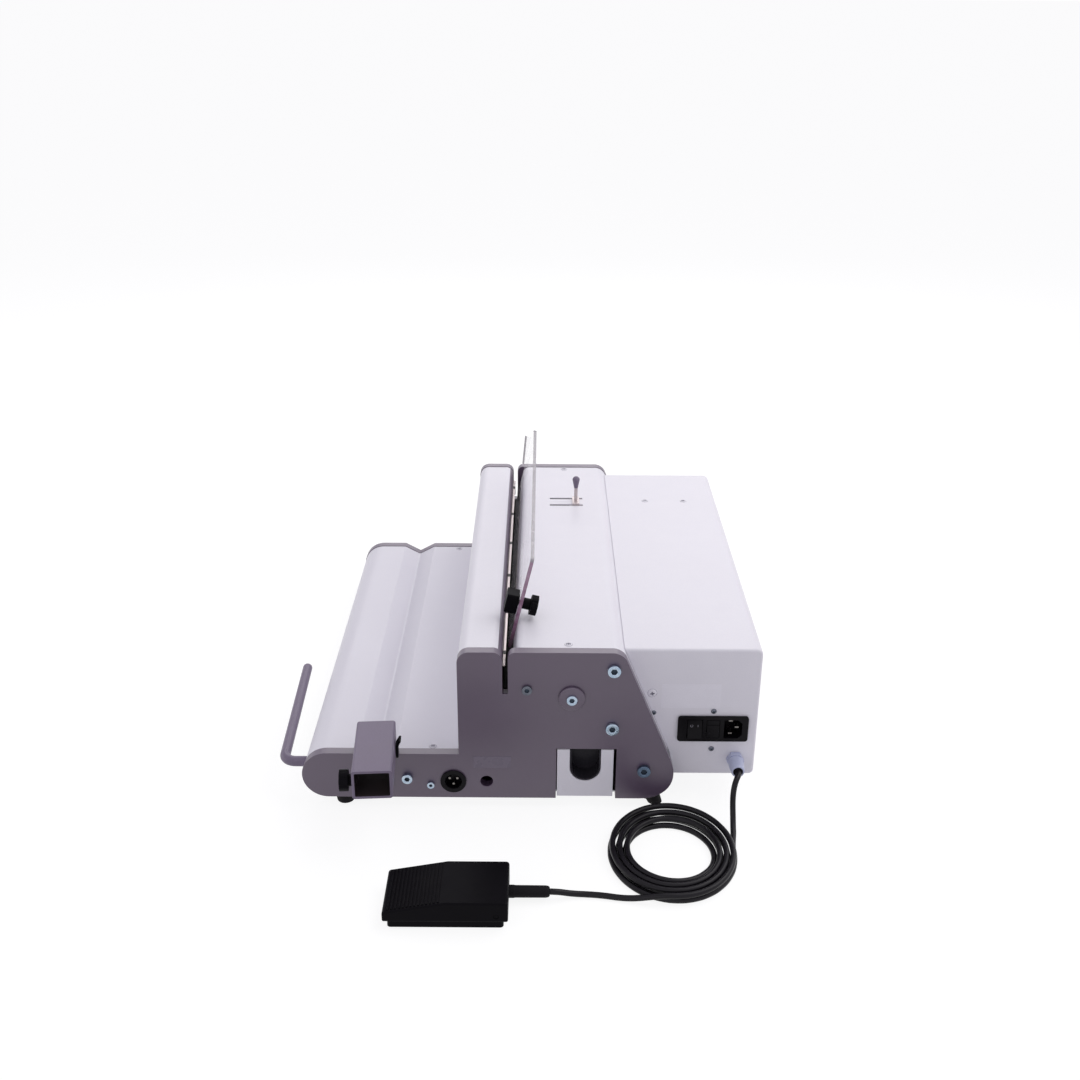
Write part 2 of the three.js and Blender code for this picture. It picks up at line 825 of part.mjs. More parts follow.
function drilledBar(frontY, rearY) {
  const radius = pinRadius + touchGap / Math.cos(Math.PI / hexSides);
  const bores = pinPlaces().map((x) => rodY(radius, frontY - overrun, rearY + overrun, x, pinZ, hexSides));
  return cut(block([-coverX, coverX], [frontY, rearY], [dieBottomZ, dieTopZ]), ...bores);
}

function slotFloorBar() {
  return block([-coverX, coverX], [slotFrontY + touchGap, slotRearY - touchGap], [dieBottomZ, slotFloorZ]);
}

function paperGuideStrip() {
  const rearY = slotFrontY - coverInset;
  return block(
    [guideStripInset - halfLength, halfLength - guideStripInset],
    [rearY - sheetThickness, rearY],
    [dieTopZ + touchGap, dieTopZ + guideStripHeight],
  );
}

// Punch bar with its row of pins and two racks over the shaft
function rackOutline() {
  const pitch = Math.PI * pinionModule;
  const addendum = rackAddendumShare * pinionModule;
  const dedendum = pinionAddendumShare * pinionModule + gearRootRoom;
  const pitchZ = shaftZ + pinionRadius;
  const slant = Math.tan(pressureAngle);
  const halfPitch = pitch / 4 - backlash / 4;
  const rearY = shaftY + (rackTeeth - 1) * pitch;
  const frontY = barRearY - runningGap;
  const topZ = pinZ + barHeight / 2;
  const corners = [[frontY, topZ], [frontY, pitchZ + dedendum]];
  for (let i = 0; i < rackTeeth; i += 1) {
    const middle = shaftY + (i - 1 / 2) * pitch;
    corners.push([middle - halfPitch - dedendum * slant, pitchZ + dedendum]);
    corners.push([middle - halfPitch + addendum * slant, pitchZ - addendum]);
    corners.push([middle + halfPitch - addendum * slant, pitchZ - addendum]);
    corners.push([middle + halfPitch + dedendum * slant, pitchZ + dedendum]);
  }
  corners.push([rearY, pitchZ + dedendum], [rearY, topZ]);
  return roundedOutline(corners);
}

function punchBar() {
  const halfBar = pinCount * pinPitch / 2 + barOverhang;
  const bar = block([-halfBar, halfBar], [barFrontY, barRearY], centred(pinZ, barHeight));
  const pins = pinPlaces().map((x) => (
    rodY(pinRadius, slotRearY + runningGap, barFrontY + runningGap, x, pinZ, hexSides)));
  const racks = [-rackOffsetX, rackOffsetX].map((x) => (
    alongX(rackOutline(), x - rackWidth / 2, x + rackWidth / 2)));
  return join(bar, ...pins, ...racks);
}

// Punch shaft with two pinions, turning in a flanged bearing in each plate
function punchShaft() {
  const teeth = gearOutline(
    pinionTeeth,
    pinionModule,
    pinionAddendumShare * pinionModule,
    rackAddendumShare * pinionModule + gearRootRoom,
    Math.PI / 2,
  );
  const pinions = [-rackOffsetX, rackOffsetX].map((x) => (
    gearBody(teeth, x - pinionWidth / 2, x + pinionWidth / 2, shaftY, shaftZ)));
  const end = halfLength - touchGap;
  return join(rodX(shaftRadius, -end, end, shaftY, shaftZ), ...pinions);
}

function shaftBearing(side) {
  const inner = shaftRadius + touchGap;
  const outer = bearingOuterRadius;
  const start = innerX - bearingFlange - touchGap;
  const flange = innerX - touchGap;
  const profile = [
    [start, inner],
    [start, outer + bearingFlange],
    [flange, outer + bearingFlange],
    [flange, outer],
    [halfLength, outer],
    [halfLength, inner],
    [start, inner],
  ];
  return turnedX(profile.map(([x, radius]) => [side * x, radius]), shaftY, shaftZ);
}

function shaftCap(side) {
  const start = halfLength + touchGap;
  const steepest = Math.acos(capScrewRadius / capRadius);
  const dome = Array.from({ length: arcSteps + 1 }, (_, i) => {
    const angle = i / arcSteps * steepest;
    return [start + capDome * Math.sin(angle) / Math.sin(steepest), capRadius * Math.cos(angle)];
  });
  const top = start + capDome + capScrewHeight;
  const profile = [[start, 0], ...dome, [top, capScrewRadius], [top, 0]];
  return turnedX(profile.map(([x, radius]) => [side * x, radius]), shaftY, shaftZ);
}

function driveGear() {
  const addendum = gearAddendumShare * gearModule;
  const teeth = gearOutline(driveTeeth, gearModule, addendum, addendum + gearRootRoom, motorSlant);
  const hubEnd = gearX - hubLength;
  return cut(
    join(
      gearBody(teeth, gearX, gearX + gearWidth, shaftY, shaftZ),
      rodX(hubRadius, hubEnd, gearX + gearWidth, shaftY, shaftZ),
    ),
    rodX(shaftRadius + touchGap, hubEnd - overrun, gearX + gearWidth + overrun, shaftY, shaftZ),
  );
}

function motorPinion() {
  const addendum = gearAddendumShare * gearModule;
  const toothAngle = motorSlant + Math.PI + Math.PI / motorTeeth;
  const teeth = gearOutline(motorTeeth, gearModule, addendum, addendum + gearRootRoom, toothAngle);
  return join(
    gearBody(teeth, gearX, gearX + gearWidth, motorY, motorZ),
    rodX(motorShaftRadius, gearX, gearboxX + gearboxLength / 2, motorY, motorZ, smallSides),
  );
}

// Gear motor on its foot inside the rear housing
function gearMotor() {
  const gearbox = block(
    [gearboxX, gearboxX + gearboxLength],
    [motorY - gearboxMargin, motorY - gearboxMargin + gearboxDepth],
    [gearboxLowZ, gearboxLowZ + gearboxHeight],
  );
  const canY = motorY + motorCanBack;
  const canZ = gearboxLowZ + gearboxHeight / 2;
  const canStart = gearboxX + gearboxLength;
  const can = rodX(motorCanRadius, canStart - sheetThickness, canStart + motorCanLength, canY, canZ);
  const foot = block(
    centred(canStart + motorCanLength / 2, motorFootLength),
    centred(canY + motorFootOffset, motorFootWidth),
    [housingFloorZ + sheetThickness + touchGap, canZ],
  );
  const bore = rodX(
    motorShaftRadius + touchGap, gearboxX - overrun, gearboxX + gearboxLength / 2 + touchGap,
    motorY, motorZ, smallSides,
  );
  return cut(join(gearbox, can, foot), bore);
}

// Tie rods with a head outside the left plate, and socket screws in the right plate
function tieRod([y, z], radius) {
  const head = rodX(rodHeadRadius, -halfLength - touchGap - rodHeadHeight, -halfLength - touchGap, y, z);
  const shank = rodX(rodShankRadius, -halfLength - rodHeadHeight, -innerX + overrun, y, z, smallSides);
  return join(rodX(radius, -coverX, coverX, y, z), shank, head);
}

function socketScrew([y, z], headRadius, headHeight, shankRadius) {
  const face = halfLength + touchGap;
  const head = rodX(headRadius, face, face + headHeight, y, z);
  const shank = rodX(shankRadius, innerX + touchGap, face + headHeight / 2, y, z, smallSides);
  const radius = headRadius * socketRadius / rodHeadRadius;
  const depth = headHeight * socketDepth / rodHeadHeight;
  const socket = rodX(radius, face + headHeight - depth, face + headHeight + overrun, y, z, hexSides);
  return cut(join(head, shank), socket);
}

// Chip chute under the die and the drawer that catches the chips
function chipChute() {
  const topZ = dieBottomZ - chuteTopDrop;
  const lowZ = drawerNotchHeight + sheetThickness;
  return alongX(sheetOutline([
    [towerFrontY + sheetThickness + chuteFrontInset, topZ],
    [drawerNotchFrontY, lowZ],
  ], sheetThickness), -coverX, coverX);
}

function pullOutline(gap) {
  const width = pullWidth - 2 * gap;
  const middle = (drawerFrontY + drawerRearY) / 2;
  return roundedOutline([
    [middle - width / 2, pullFloorZ + gap, width * fullRoundShare],
    [middle + width / 2, pullFloorZ + gap, width * fullRoundShare],
    [middle + width / 2, panelTopZ + overrun],
    [middle - width / 2, panelTopZ + overrun],
  ]);
}

function chipDrawer() {
  const start = drawerEndGap - halfLength;
  const panelX = halfLength - panelThickness;
  const low = drawerFloorZ;
  const box = cut(
    block([start, panelX + panelThickness / 2], [drawerFrontY, drawerRearY], [low, low + drawerHeight]),
    block(
      [start + drawerWall, panelX],
      [drawerFrontY + drawerWall, drawerRearY - drawerWall],
      [low + drawerWall, low + drawerHeight + overrun],
    ),
  );
  const panel = block([panelX, halfLength], [drawerFrontY, drawerRearY], [low, panelTopZ]);
  return cut(join(box, panel), alongX(pullOutline(0), panelX - overrun, halfLength + overrun));
}

function drawerPullCup() {
  const back = halfLength - pullDepth;
  const outside = alongX(pullOutline(touchGap), back, halfLength - sheetThickness / 2);
  const inside = alongX(pullOutline(touchGap + pullWall), back + pullWall, halfLength + overrun);
  const above = block(
    [back - overrun, halfLength + overrun],
    [drawerFrontY, drawerRearY],
    [panelTopZ - touchGap, panelTopZ + 2 * overrun],
  );
  return cut(outside, inside, above);
}

// Leaning acrylic support with a track for the side guide, drawn flat and upright in its own group
function paperSupport() {
  const half = supportLength / 2;
  const front = roundedOutline([
    [-half, 0],
    [half, 0],
    [half, supportHeight, supportCornerRadius],
    [-half, supportHeight, supportCornerRadius],
  ]);
  const track = roundedOutline([
    [guideTrackStart, guideTrackZ - guideTrackHeight / 2, guideTrackHeight * fullRoundShare],
    [half - guideTrackEnd, guideTrackZ - guideTrackHeight / 2, guideTrackHeight * fullRoundShare],
    [half - guideTrackEnd, guideTrackZ + guideTrackHeight / 2, guideTrackHeight * fullRoundShare],
    [guideTrackStart, guideTrackZ + guideTrackHeight / 2, guideTrackHeight * fullRoundShare],
  ]);
  const sheet = alongY(front, -supportThickness / 2, supportThickness / 2);
  return cut(sheet, alongY(track, -overrun, overrun));
}

function sideGuide() {
  const rearY = -supportThickness / 2 - touchGap;
  const outline = roundedOutline([
    [sideGuideX - sideGuideWidth / 2, guideTrackZ - sideGuideHeight / 2, sideGuideBevel],
    [sideGuideX + sideGuideWidth / 2, guideTrackZ - sideGuideHeight / 2, sideGuideBevel],
    [sideGuideX + sideGuideWidth / 2, guideTrackZ + sideGuideHeight / 2, sideGuideBevel],
    [sideGuideX - sideGuideWidth / 2, guideTrackZ + sideGuideHeight / 2, sideGuideBevel],
  ]);
  const boreEnd = rearY - studReach - touchGap;
  const bore = rodY(studRadius + touchGap, boreEnd, overrun, sideGuideX, guideTrackZ, smallSides);
  return cut(alongY(outline, rearY - sideGuideDepth, rearY), bore);
}

function lobedHead(radius, from, to, x, z) {
  const disc = rodY(radius, from, to, x, z, fineSides);
  const notches = Array.from({ length: knobLobes }, (_, i) => {
    const angle = 2 * Math.PI * i / knobLobes;
    const reach = radius + knobLobeRadius / 2;
    return rodY(
      knobLobeRadius, from - overrun, to + overrun,
      x + reach * Math.cos(angle), z + reach * Math.sin(angle), hexSides,
    );
  });
  return cut(disc, ...notches);
}

function sideGuideKnob() {
  const rearY = -supportThickness / 2 - touchGap;
  const seatY = supportThickness / 2 + touchGap;
  const headY = seatY + knobCollarLength;
  return join(
    lobedHead(knobRadius, headY, headY + knobThickness, sideGuideX, guideTrackZ),
    rodY(knobCollarRadius, seatY, headY + knobThickness / 2, sideGuideX, guideTrackZ),
    rodY(studRadius, rearY - studReach, headY, sideGuideX, guideTrackZ, smallSides),
  );
}

function sideStop() {
  const x = -supportLength / 2;
  return block(
    [x, x + stopBladeThickness],
    [-supportThickness / 2 - touchGap - stopBladeDepth, -supportThickness / 2 - touchGap],
    [stopBladeFootZ, stopBladeFootZ + stopBladeHeight],
  );
}

// Margin slider: a carriage under the rear cover, two legs through its slots and a stem with a grip
function marginSlider() {
  const middleX = marginLeftSlotX + marginSlotSpacing / 2;
  const halfSpan = marginSlotSpacing / 2 + marginLegThickness / 2;
  const under = coverTop - sheetThickness - touchGap;
  const above = coverTop + touchGap;
  const carriage = block(
    [middleX - halfSpan - marginCarriageMargin, middleX + halfSpan + marginCarriageMargin],
    centred(marginY, marginLegDepth + marginCarriageMargin),
    [under - marginCarriageThickness, under],
  );
  const legs = [-1, 1].map((side) => block(
    centred(middleX + side * marginSlotSpacing / 2, marginLegThickness),
    centred(marginY, marginLegDepth),
    [under - marginCarriageThickness / 2, above + marginBridgeThickness / 2],
  ));
  const bridge = block(
    centred(middleX, 2 * halfSpan),
    centred(marginY, marginLegDepth),
    [above, above + marginBridgeThickness],
  );
  const stemTop = above + marginBridgeThickness + marginStemHeight;
  const stem = rodZ(marginStemRadius, above, stemTop, middleX, marginY, smallSides);
  return join(carriage, ...legs, bridge, stem);
}

function marginGrip() {
  const middleX = marginLeftSlotX + marginSlotSpacing / 2;
  const foot = coverTop + 2 * touchGap + marginBridgeThickness + marginStemHeight;
  const waist = marginStemRadius * marginWaistShare;
  const widest = marginGripHeight - marginGripRadius;
  const cap = Array.from({ length: arcSteps * 2 + 1 }, (_, i) => {
    const angle = Math.PI / 2 * i / (arcSteps * 2);
    return [foot + widest + marginGripRadius * Math.sin(angle), marginGripRadius * Math.cos(angle)];
  });
  cap[cap.length - 1][1] = 0;
  return turnedZ([[foot, 0], [foot, waist], ...cap], middleX, marginY, smallSides);
}

// Square holder tube with its flange, standing out from the right plate
function holderTube() {
  const outline = (wall) => roundedOutline([
    [-tubeWidth / 2 + wall, wall, Math.max(tubeCornerRadius - wall, 0)],
    [tubeWidth / 2 - wall, wall, Math.max(tubeCornerRadius - wall, 0)],
    [tubeWidth / 2 - wall, tubeHeight - wall, Math.max(tubeCornerRadius - wall, 0)],
    [-tubeWidth / 2 + wall, tubeHeight - wall, Math.max(tubeCornerRadius - wall, 0)],
  ]);
  const shell = (wall, from, to) => {
    const basis = new THREE.Matrix4().makeBasis(axisY, axisZ, axisX);
    const geometry = prism(outline(wall), to - from).applyMatrix4(basis).translate(from, 0, 0);
    return solid(geometry.rotateZ(tubeYaw).translate(tubeRootX, tubeY, tubeFootZ));
  };
  const outer = shell(0, 0, tubeLength + tubeRootInset);
  const inner = shell(tubeWall, -overrun, tubeLength + tubeRootInset + overrun);
  const flange = block(
    [halfLength + touchGap, halfLength + touchGap + flangeThickness],
    centred(grooveMiddleY, flangeWidth),
    [tubeFootZ - flangeHeight, tubeFootZ + tubeWall / 2],
  );
  const face = -tubeWidth / 2;
  const knobBore = holderKnobPart(tubeKnobStem / 2 + touchGap, face - overrun, face + tubeWall + overrun);
  return cut(join(outer, flange), inner, knobBore);
}

function turnedWithTube(geometry) {
  return solid(geometry.rotateZ(tubeYaw).translate(tubeRootX, tubeY, tubeFootZ));
}

function holderKnobPart(radius, from, to, sides = smallSides) {
  const geometry = new THREE.CylinderGeometry(radius, radius, to - from, sides);
  const x = tubeLength + tubeRootInset - tubeKnobInset;
  return turnedWithTube(geometry.translate(x, (from + to) / 2, tubeHeight / 2));
}

function holderKnob() {
  const seat = -tubeWidth / 2 - touchGap;
  const headEnd = seat - tubeKnobStem / 2;
  const head = holderKnobPart(knobRadius, headEnd - tubeKnobThickness, headEnd, fineSides);
  const notches = Array.from({ length: knobLobes }, (_, i) => {
    const angle = 2 * Math.PI * i / knobLobes;
    const reach = knobRadius + knobLobeRadius / 2;
    const depth = tubeKnobThickness + 2 * overrun;
    const geometry = new THREE.CylinderGeometry(knobLobeRadius, knobLobeRadius, depth, hexSides);
    const x = tubeLength + tubeRootInset - tubeKnobInset + reach * Math.cos(angle);
    const z = tubeHeight / 2 + reach * Math.sin(angle);
    return turnedWithTube(geometry.translate(x, headEnd - tubeKnobThickness / 2, z));
  });
  const collar = holderKnobPart(knobCollarRadius, headEnd - tubeKnobThickness / 2, seat);
  const stemEnd = seat + tubeWall + 2 * touchGap;
  const stem = holderKnobPart(tubeKnobStem / 2, headEnd - tubeKnobThickness / 2, stemEnd);
  return join(cut(head, ...notches), collar, stem);
}

function holderClip() {
  const x = tubeRootInset + clipOffset;
  const foot = tubeCornerRadius;
  const top = foot + clipHeight;
  const seat = tubeWidth / 2 + touchGap;
  const leaf = seat + clipThickness;
  const side = roundedOutline([
    [seat, foot],
    [leaf, foot],
    [leaf, top - clipFlareHeight],
    [leaf + clipFlare, top],
    [seat, top],
  ]);
  const basis = new THREE.Matrix4().makeBasis(axisY, axisZ, axisX);
  return turnedWithTube(prism(side, clipLength).applyMatrix4(basis).translate(x, 0, 0));
}

// Accessory socket in the right plate, with three pins in its cup
function connectorSocket() {
  const [y, z] = socketPlace;
  const face = halfLength + touchGap;
  const back = face - socketBodyLength;
  const rim = rodX(socketOuterRadius, face, face + socketRim, y, z, fineSides);
  const body = rodX(socketBodyRadius, back, face + socketRim / 2, y, z);
  const cup = rodX(socketCupRadius, face + socketRim - socketCupDepth, face + socketRim + overrun, y, z);
  const pins = Array.from({ length: socketPinCount }, (_, i) => {
    const angle = 2 * Math.PI * i / socketPinCount - Math.PI / 2;
    const start = face + socketRim - socketCupDepth;
    return rodX(
      socketPinRadius, start - socketRim, start + socketPinLength,
      y + socketPinCircle * Math.cos(angle), z + socketPinCircle * Math.sin(angle), cordSides,
    );
  });
  return join(cut(join(rim, body), cup), ...pins);
}

// Mains inlet module, lying along y on the near face of the motor housing
function powerInlet() {
  const face = housingX + touchGap;
  const frontY = inletY - inletWidth / 2;
  const half = inletHeight / 2;
  const plate = alongX(roundedOutline([
    [frontY, inletZ - half, inletCornerRadius],
    [frontY + inletWidth, inletZ - half, inletCornerRadius],
    [frontY + inletWidth, inletZ + half, inletCornerRadius],
    [frontY, inletZ + half, inletCornerRadius],
  ]), face, face + inletRim);
  const body = block(
    [face - inletBodyDepth, face + inletRim / 2],
    centred(inletY, inletBodyWidth),
    centred(inletZ, inletBodyHeight),
  );
  const well = (middle, width, height, depth) => block(
    [face + inletRim - depth, face + inletRim + overrun],
    centred(middle, width),
    centred(inletZ, height),
  );
  const rockerY = frontY + rockerInset + rockerWidth / 2;
  const fuseY = frontY + fuseInset + fuseWidth / 2;
  const plugY = frontY + plugInset + plugWidth / 2;
  const pin = (y, z, breadth, width) => block(
    [face + inletRim - plugDepth - plugPinWidth / 2, face + inletRim - plugDepth + plugPinLength],
    centred(y, breadth),
    centred(z, width),
  );
  return join(
    cut(
      join(plate, body),
      well(rockerY, rockerWidth + 2 * touchGap, rockerLength + 2 * touchGap, rockerWellDepth),
      well(fuseY, fuseWidth + 2 * touchGap, fuseHeight + 2 * touchGap, fuseDepth + touchGap),
      well(plugY, plugWidth, plugHeight, plugDepth),
    ),
    pin(plugY - plugEarthOffset / 2, inletZ + plugPinSpacing / 2, plugPinBreadth, plugPinWidth),
    pin(plugY - plugEarthOffset / 2, inletZ - plugPinSpacing / 2, plugPinBreadth, plugPinWidth),
    pin(plugY + plugEarthOffset, inletZ, plugPinBreadth, plugPinWidth),
  );
}

function rockerSwitch() {
  const face = housingX + touchGap + inletRim;
  const pivotX = face - rockerRise;
  const middleY = inletY - inletWidth / 2 + rockerInset + rockerWidth / 2;
  const half = rockerLength / 2 - touchGap;
  const slant = half * Math.tan(rockerTravel / 2);
  const back = face - rockerWellDepth / 2;
  const side = roundedOutline([
    [face + slant, inletZ - half],
    [face, inletZ],
    [face + slant, inletZ + half],
    [back, inletZ + half * rockerBackShare],
    [back, inletZ - half * rockerBackShare],
  ]);
  const basis = new THREE.Matrix4().makeBasis(axisX, axisZ, axisY.clone().negate());
  const width = rockerWidth - touchGap;
  const body = prism(side, width).applyMatrix4(basis).translate(-pivotX, middleY + width / 2, -inletZ);
  return solid(body.rotateY(-rockerTravel / 2).translate(pivotX, 0, inletZ));
}

function fuseDrawer() {
  const face = housingX + touchGap + inletRim;
  const middleY = inletY - inletWidth / 2 + fuseInset + fuseWidth / 2;
  const body = block([face - fuseDepth, face], centred(middleY, fuseWidth), centred(inletZ, fuseHeight));
  const lip = block(
    [face - fuseRise, face + fuseRise], centred(middleY, fuseWidth), centred(inletZ, fuseHeight / 2),
  );
  return join(body, lip);
}

function inletScrew(z) {
  const face = housingX + touchGap;
  const top = face + inletScrewHeadHeight;
  return join(
    rodX(inletScrewHeadRadius, face, top, inletY, z, smallSides),
    rodX(inletScrewShankRadius, face - inletScrewLength, (face + top) / 2, inletY, z, smallSides),
  );
}

function cableGland() {
  const face = housingX + touchGap;
  const nut = rodX(glandNutRadius, face, face + glandNutLength, glandY, glandZ, hexSides);
  const end = face + glandLength;
  const collar = face + glandLength / 2;
  const profile = [
    [face - sheetThickness - touchGap, 0],
    [face - sheetThickness - touchGap, glandBodyRadius / 2],
    [face + glandNutLength / 2, glandBodyRadius / 2],
    [face + glandNutLength / 2, glandBodyRadius],
    [collar, glandBodyRadius],
    [end - glandMouthRadius, glandBodyRadius * glandTipShare],
    [end, glandMouthRadius],
    [end, 0],
  ];
  return join(nut, turnedX(profile, glandY, glandZ));
}

// Front lever: a bent round bar whose tail turns in the nose
function frontLever() {
  const z = noseRadius;
  const bendY = noseFrontY - leverReach;
  const tailY = noseFrontY + leverTail;
  const gripStart = [leverX - leverBend, bendY];
  const gripEnd = [leverX - gripLength, bendY - gripSplay];
  const corner = [leverX, bendY];
  const points = [[leverX, tailY], [leverX, (tailY + bendY) / 2], [leverX, bendY + leverBend * 3 / 2]];
  for (let i = 0; i <= arcSteps; i += 1) {
    const share = i / arcSteps;
    const first = [leverX, bendY + leverBend];
    points.push([0, 1].map((k) => (
      (1 - share) ** 2 * first[k] + 2 * share * (1 - share) * corner[k] + share ** 2 * gripStart[k])));
  }
  for (let i = 1; i <= arcSteps; i += 1) {
    const share = i / arcSteps;
    points.push([0, 1].map((k) => gripStart[k] + share * (gripEnd[k] - gripStart[k])));
  }
  const bar = tube(routeCurve(points.map(([x, y]) => [x, y, z])), leverRadius, leverSides, leverSteps);
  const tip = new THREE.SphereGeometry(leverRadius, leverSides, leverSides / 2);
  const collarY = noseFrontY + noseRadius / 2;
  const collar = rodY(leverCollarRadius, collarY, collarY + leverCollarLength, leverX, z);
  return join(bar, solid(tip.translate(gripEnd[0], gripEnd[1], z)), collar);
}

// Rubber feet
function foot(x, y) {
  const profile = [
    [-footHeight, 0],
    [-footHeight, footRadius - footTaper],
    [-touchGap, footRadius],
    [-touchGap, 0],
  ];
  return turnedZ(profile, x, y);
}

// The rear feet sit on the plates' lower rear bend, lean back with it and are cut level with the floor
function rearFoot(x) {
  const seat = rearFootRadius + touchGap;
  const tip = (rearFootRadius + footHeight) / Math.cos(rearFootTilt) + rearFootTip * Math.tan(rearFootTilt);
  const profile = [
    [-tip, 0],
    [-tip, rearFootTip],
    [-seat - rearFootFlangeHeight, rearFootWaist],
    [-seat - rearFootFlangeHeight, rearFootFlange],
    [-seat, rearFootFlange],
    [-seat, 0],
  ];
  const body = turnedBody(profile, roundSides).rotateX(Math.PI / 2 + rearFootTilt);
  const leaning = solid(body.translate(x, bendY, rearFootRadius));
  const below = block(centred(x, 2 * tip), [bendY, bendY + tip], [-2 * footHeight, -footHeight]);
  return cut(leaning, below);
}

// The pedal's lead: it drops from the gland, is wound in one coil and runs along the floor to the pedal
const dropRoute = [
  [244.6, 187, 34],
  [247.2, 187, 34],
  [250, 186.2, 33.4],
  [253.2, 184.6, 32.2],
  [256.8, 182.8, 29.2],
  [259.5, 181.6, 25],
  [261.6, 181, 20.2],
  [263.4, 180.8, 15],
  [265.6, 180.8, 9.8],
  [268.8, 180.8, 4.8],
  [273.2, 180.6, 0.4],
  [278.8, 180.2, -3.2],
  [285.2, 179.7, -5.7],
  [292, 178.6, -6.9],
  [299, 177.5, cordFloorZ],
  [coilX - cordDiameter - touchGap, coilY + coilWidthRadius, cordFloorZ],
];
const coilEndZ = cordFloorZ + coilLayerPitch;
const leadRoute = [
  [coilX + coilDepthRadius, coilY - cordDiameter - touchGap, coilEndZ],
  [377.6, 105, -1.5],
  [377, 96.5, -2.9],
  [376, 87.5, -4.9],
  [374.6, 78, -6.5],
  [373, 68.5, cordFloorZ],
  [371.2, 59, cordFloorZ],
  [369.9, 50, cordFloorZ],
  [369.3, 41, -7],
  [369.6, 33, -6.3],
  [370.4, 25.5, -4.9],
  [371.3, 19, -3.2],
  [reliefX, 14.2, -2.2],
  [reliefX, pedalHeelY + reliefLength + touchGap, reliefZ - footHeight],
];

// The coil spirals in on the floor and out again on top, and climbs in the half turn between
function coilPoints() {
  const steps = Math.round(coilTurns * stepsPerTurn);
  const middle = coilTurns / 2;
  const points = [new THREE.Vector3(coilX - cordDiameter, coilY + coilWidthRadius, cordFloorZ)];
  for (let i = 0; i <= steps; i += 1) {
    const turn = i / stepsPerTurn;
    const inward = 1 - Math.abs(turn - middle) / middle;
    const depth = THREE.MathUtils.lerp(coilDepthRadius, coilInnerDepth, inward);
    const width = THREE.MathUtils.lerp(coilWidthRadius, coilInnerWidth, inward);
    const climb = THREE.MathUtils.smoothstep(turn - middle, -coilClimbTurns / 2, coilClimbTurns / 2);
    const angle = Math.PI / 2 - 2 * Math.PI * turn;
    points.push(new THREE.Vector3(
      coilX + coilShiftX * inward + depth * Math.cos(angle),
      coilY + coilShiftY * inward + width * Math.sin(angle),
      cordFloorZ + coilLayerPitch * climb,
    ));
  }
  const last = points[points.length - 1];
  points.push(new THREE.Vector3(last.x, last.y - cordDiameter, last.z));
  return points;
}

function cableCoil() {
  const curve = new THREE.CatmullRomCurve3(coilPoints(), false, 'centripetal');
  const fine = curve.getSpacedPoints(Math.round(coilTurns * stepsPerTurn) * 2);
  const close = [];
  for (let i = 0; i < fine.length; i += 1) {
    for (let j = i + stepsPerTurn; j < fine.length; j += 1) close.push(fine[i].distanceTo(fine[j]));
  }
  const gap = close.reduce((least, next) => Math.min(least, next), Infinity) - cordDiameter;
  console.log(`coil length ${curve.getLength().toFixed(0)} mm`);
  console.log(`least gap between the coil's turns ${gap.toFixed(2)} mm`);
  return tube(curve, cordDiameter / 2, hexSides, Math.round(coilTurns * stepsPerTurn) + 2);
}

function straightStretch(route, steps) {
  const curve = routeCurve(route);
  console.log(`cord stretch ${curve.getLength().toFixed(0)} mm`);
  return tube(curve, cordDiameter / 2, cordSides, steps);
}

// Foot pedal: a ribbed treadle hinged near the heel over a flat base, and the relief of its lead
function pedalProfile(wall, skirt) {
  const heel = pedalHeelY - wall;
  const toe = pedalHeelY - pedalLength + wall;
  const flat = pedalHeelY - pedalFlat;
  const radius = Math.max(pedalCornerRadius - wall, 0);
  return roundedOutline([
    [toe, skirt],
    [heel, skirt],
    [heel, pedalHeelHeight - wall - footHeight, radius],
    [flat, pedalHeelHeight - wall - footHeight],
    [toe, pedalToeHeight - wall - footHeight, radius],
  ]);
}

function pedalTreadle() {
  const skirt = pedalSkirtZ - footHeight;
  const rightX = pedalX + pedalWidth;
  const shell = cut(
    alongX(pedalProfile(0, skirt), pedalX, rightX),
    alongX(pedalProfile(pedalWall, skirt - overrun), pedalX + pedalWall, rightX - pedalWall),
  );
  const pivotY = pedalHeelY - pedalPivotInset;
  const pivotZ = pedalPivotZ - footHeight;
  const boreRadius = pedalPivotRadius + touchGap;
  const pivotBore = rodX(boreRadius, pedalX - overrun, rightX + overrun, pivotY, pivotZ, smallSides);
  const reliefNotch = block(
    centred(reliefX, 2 * (reliefRadius + pedalPlay)),
    [pedalHeelY - pedalWall - overrun, pedalHeelY + overrun],
    [skirt - overrun, reliefZ + reliefRadius + pedalPlay - footHeight],
  );
  return join(cut(shell, pivotBore, reliefNotch), ...pedalRibs());
}

function pedalRibs() {
  const toe = pedalHeelY - pedalLength;
  const slopeLength = pedalLength - pedalFlat;
  const pitch = slopeLength / pedalRibCount;
  const rise = (pedalHeelHeight - pedalToeHeight) / slopeLength;
  return Array.from({ length: pedalRibCount - 2 }, (_, i) => {
    const y = toe + pitch * (i + 1 + 1 / 2);
    const z = pedalToeHeight - footHeight + rise * (y - toe);
    return block(
      [pedalX + pedalWall, pedalX + pedalWidth - pedalWall],
      centred(y, pitch / 2),
      [z - pedalWall / 2, z + pedalRibHeight],
    );
  });
}

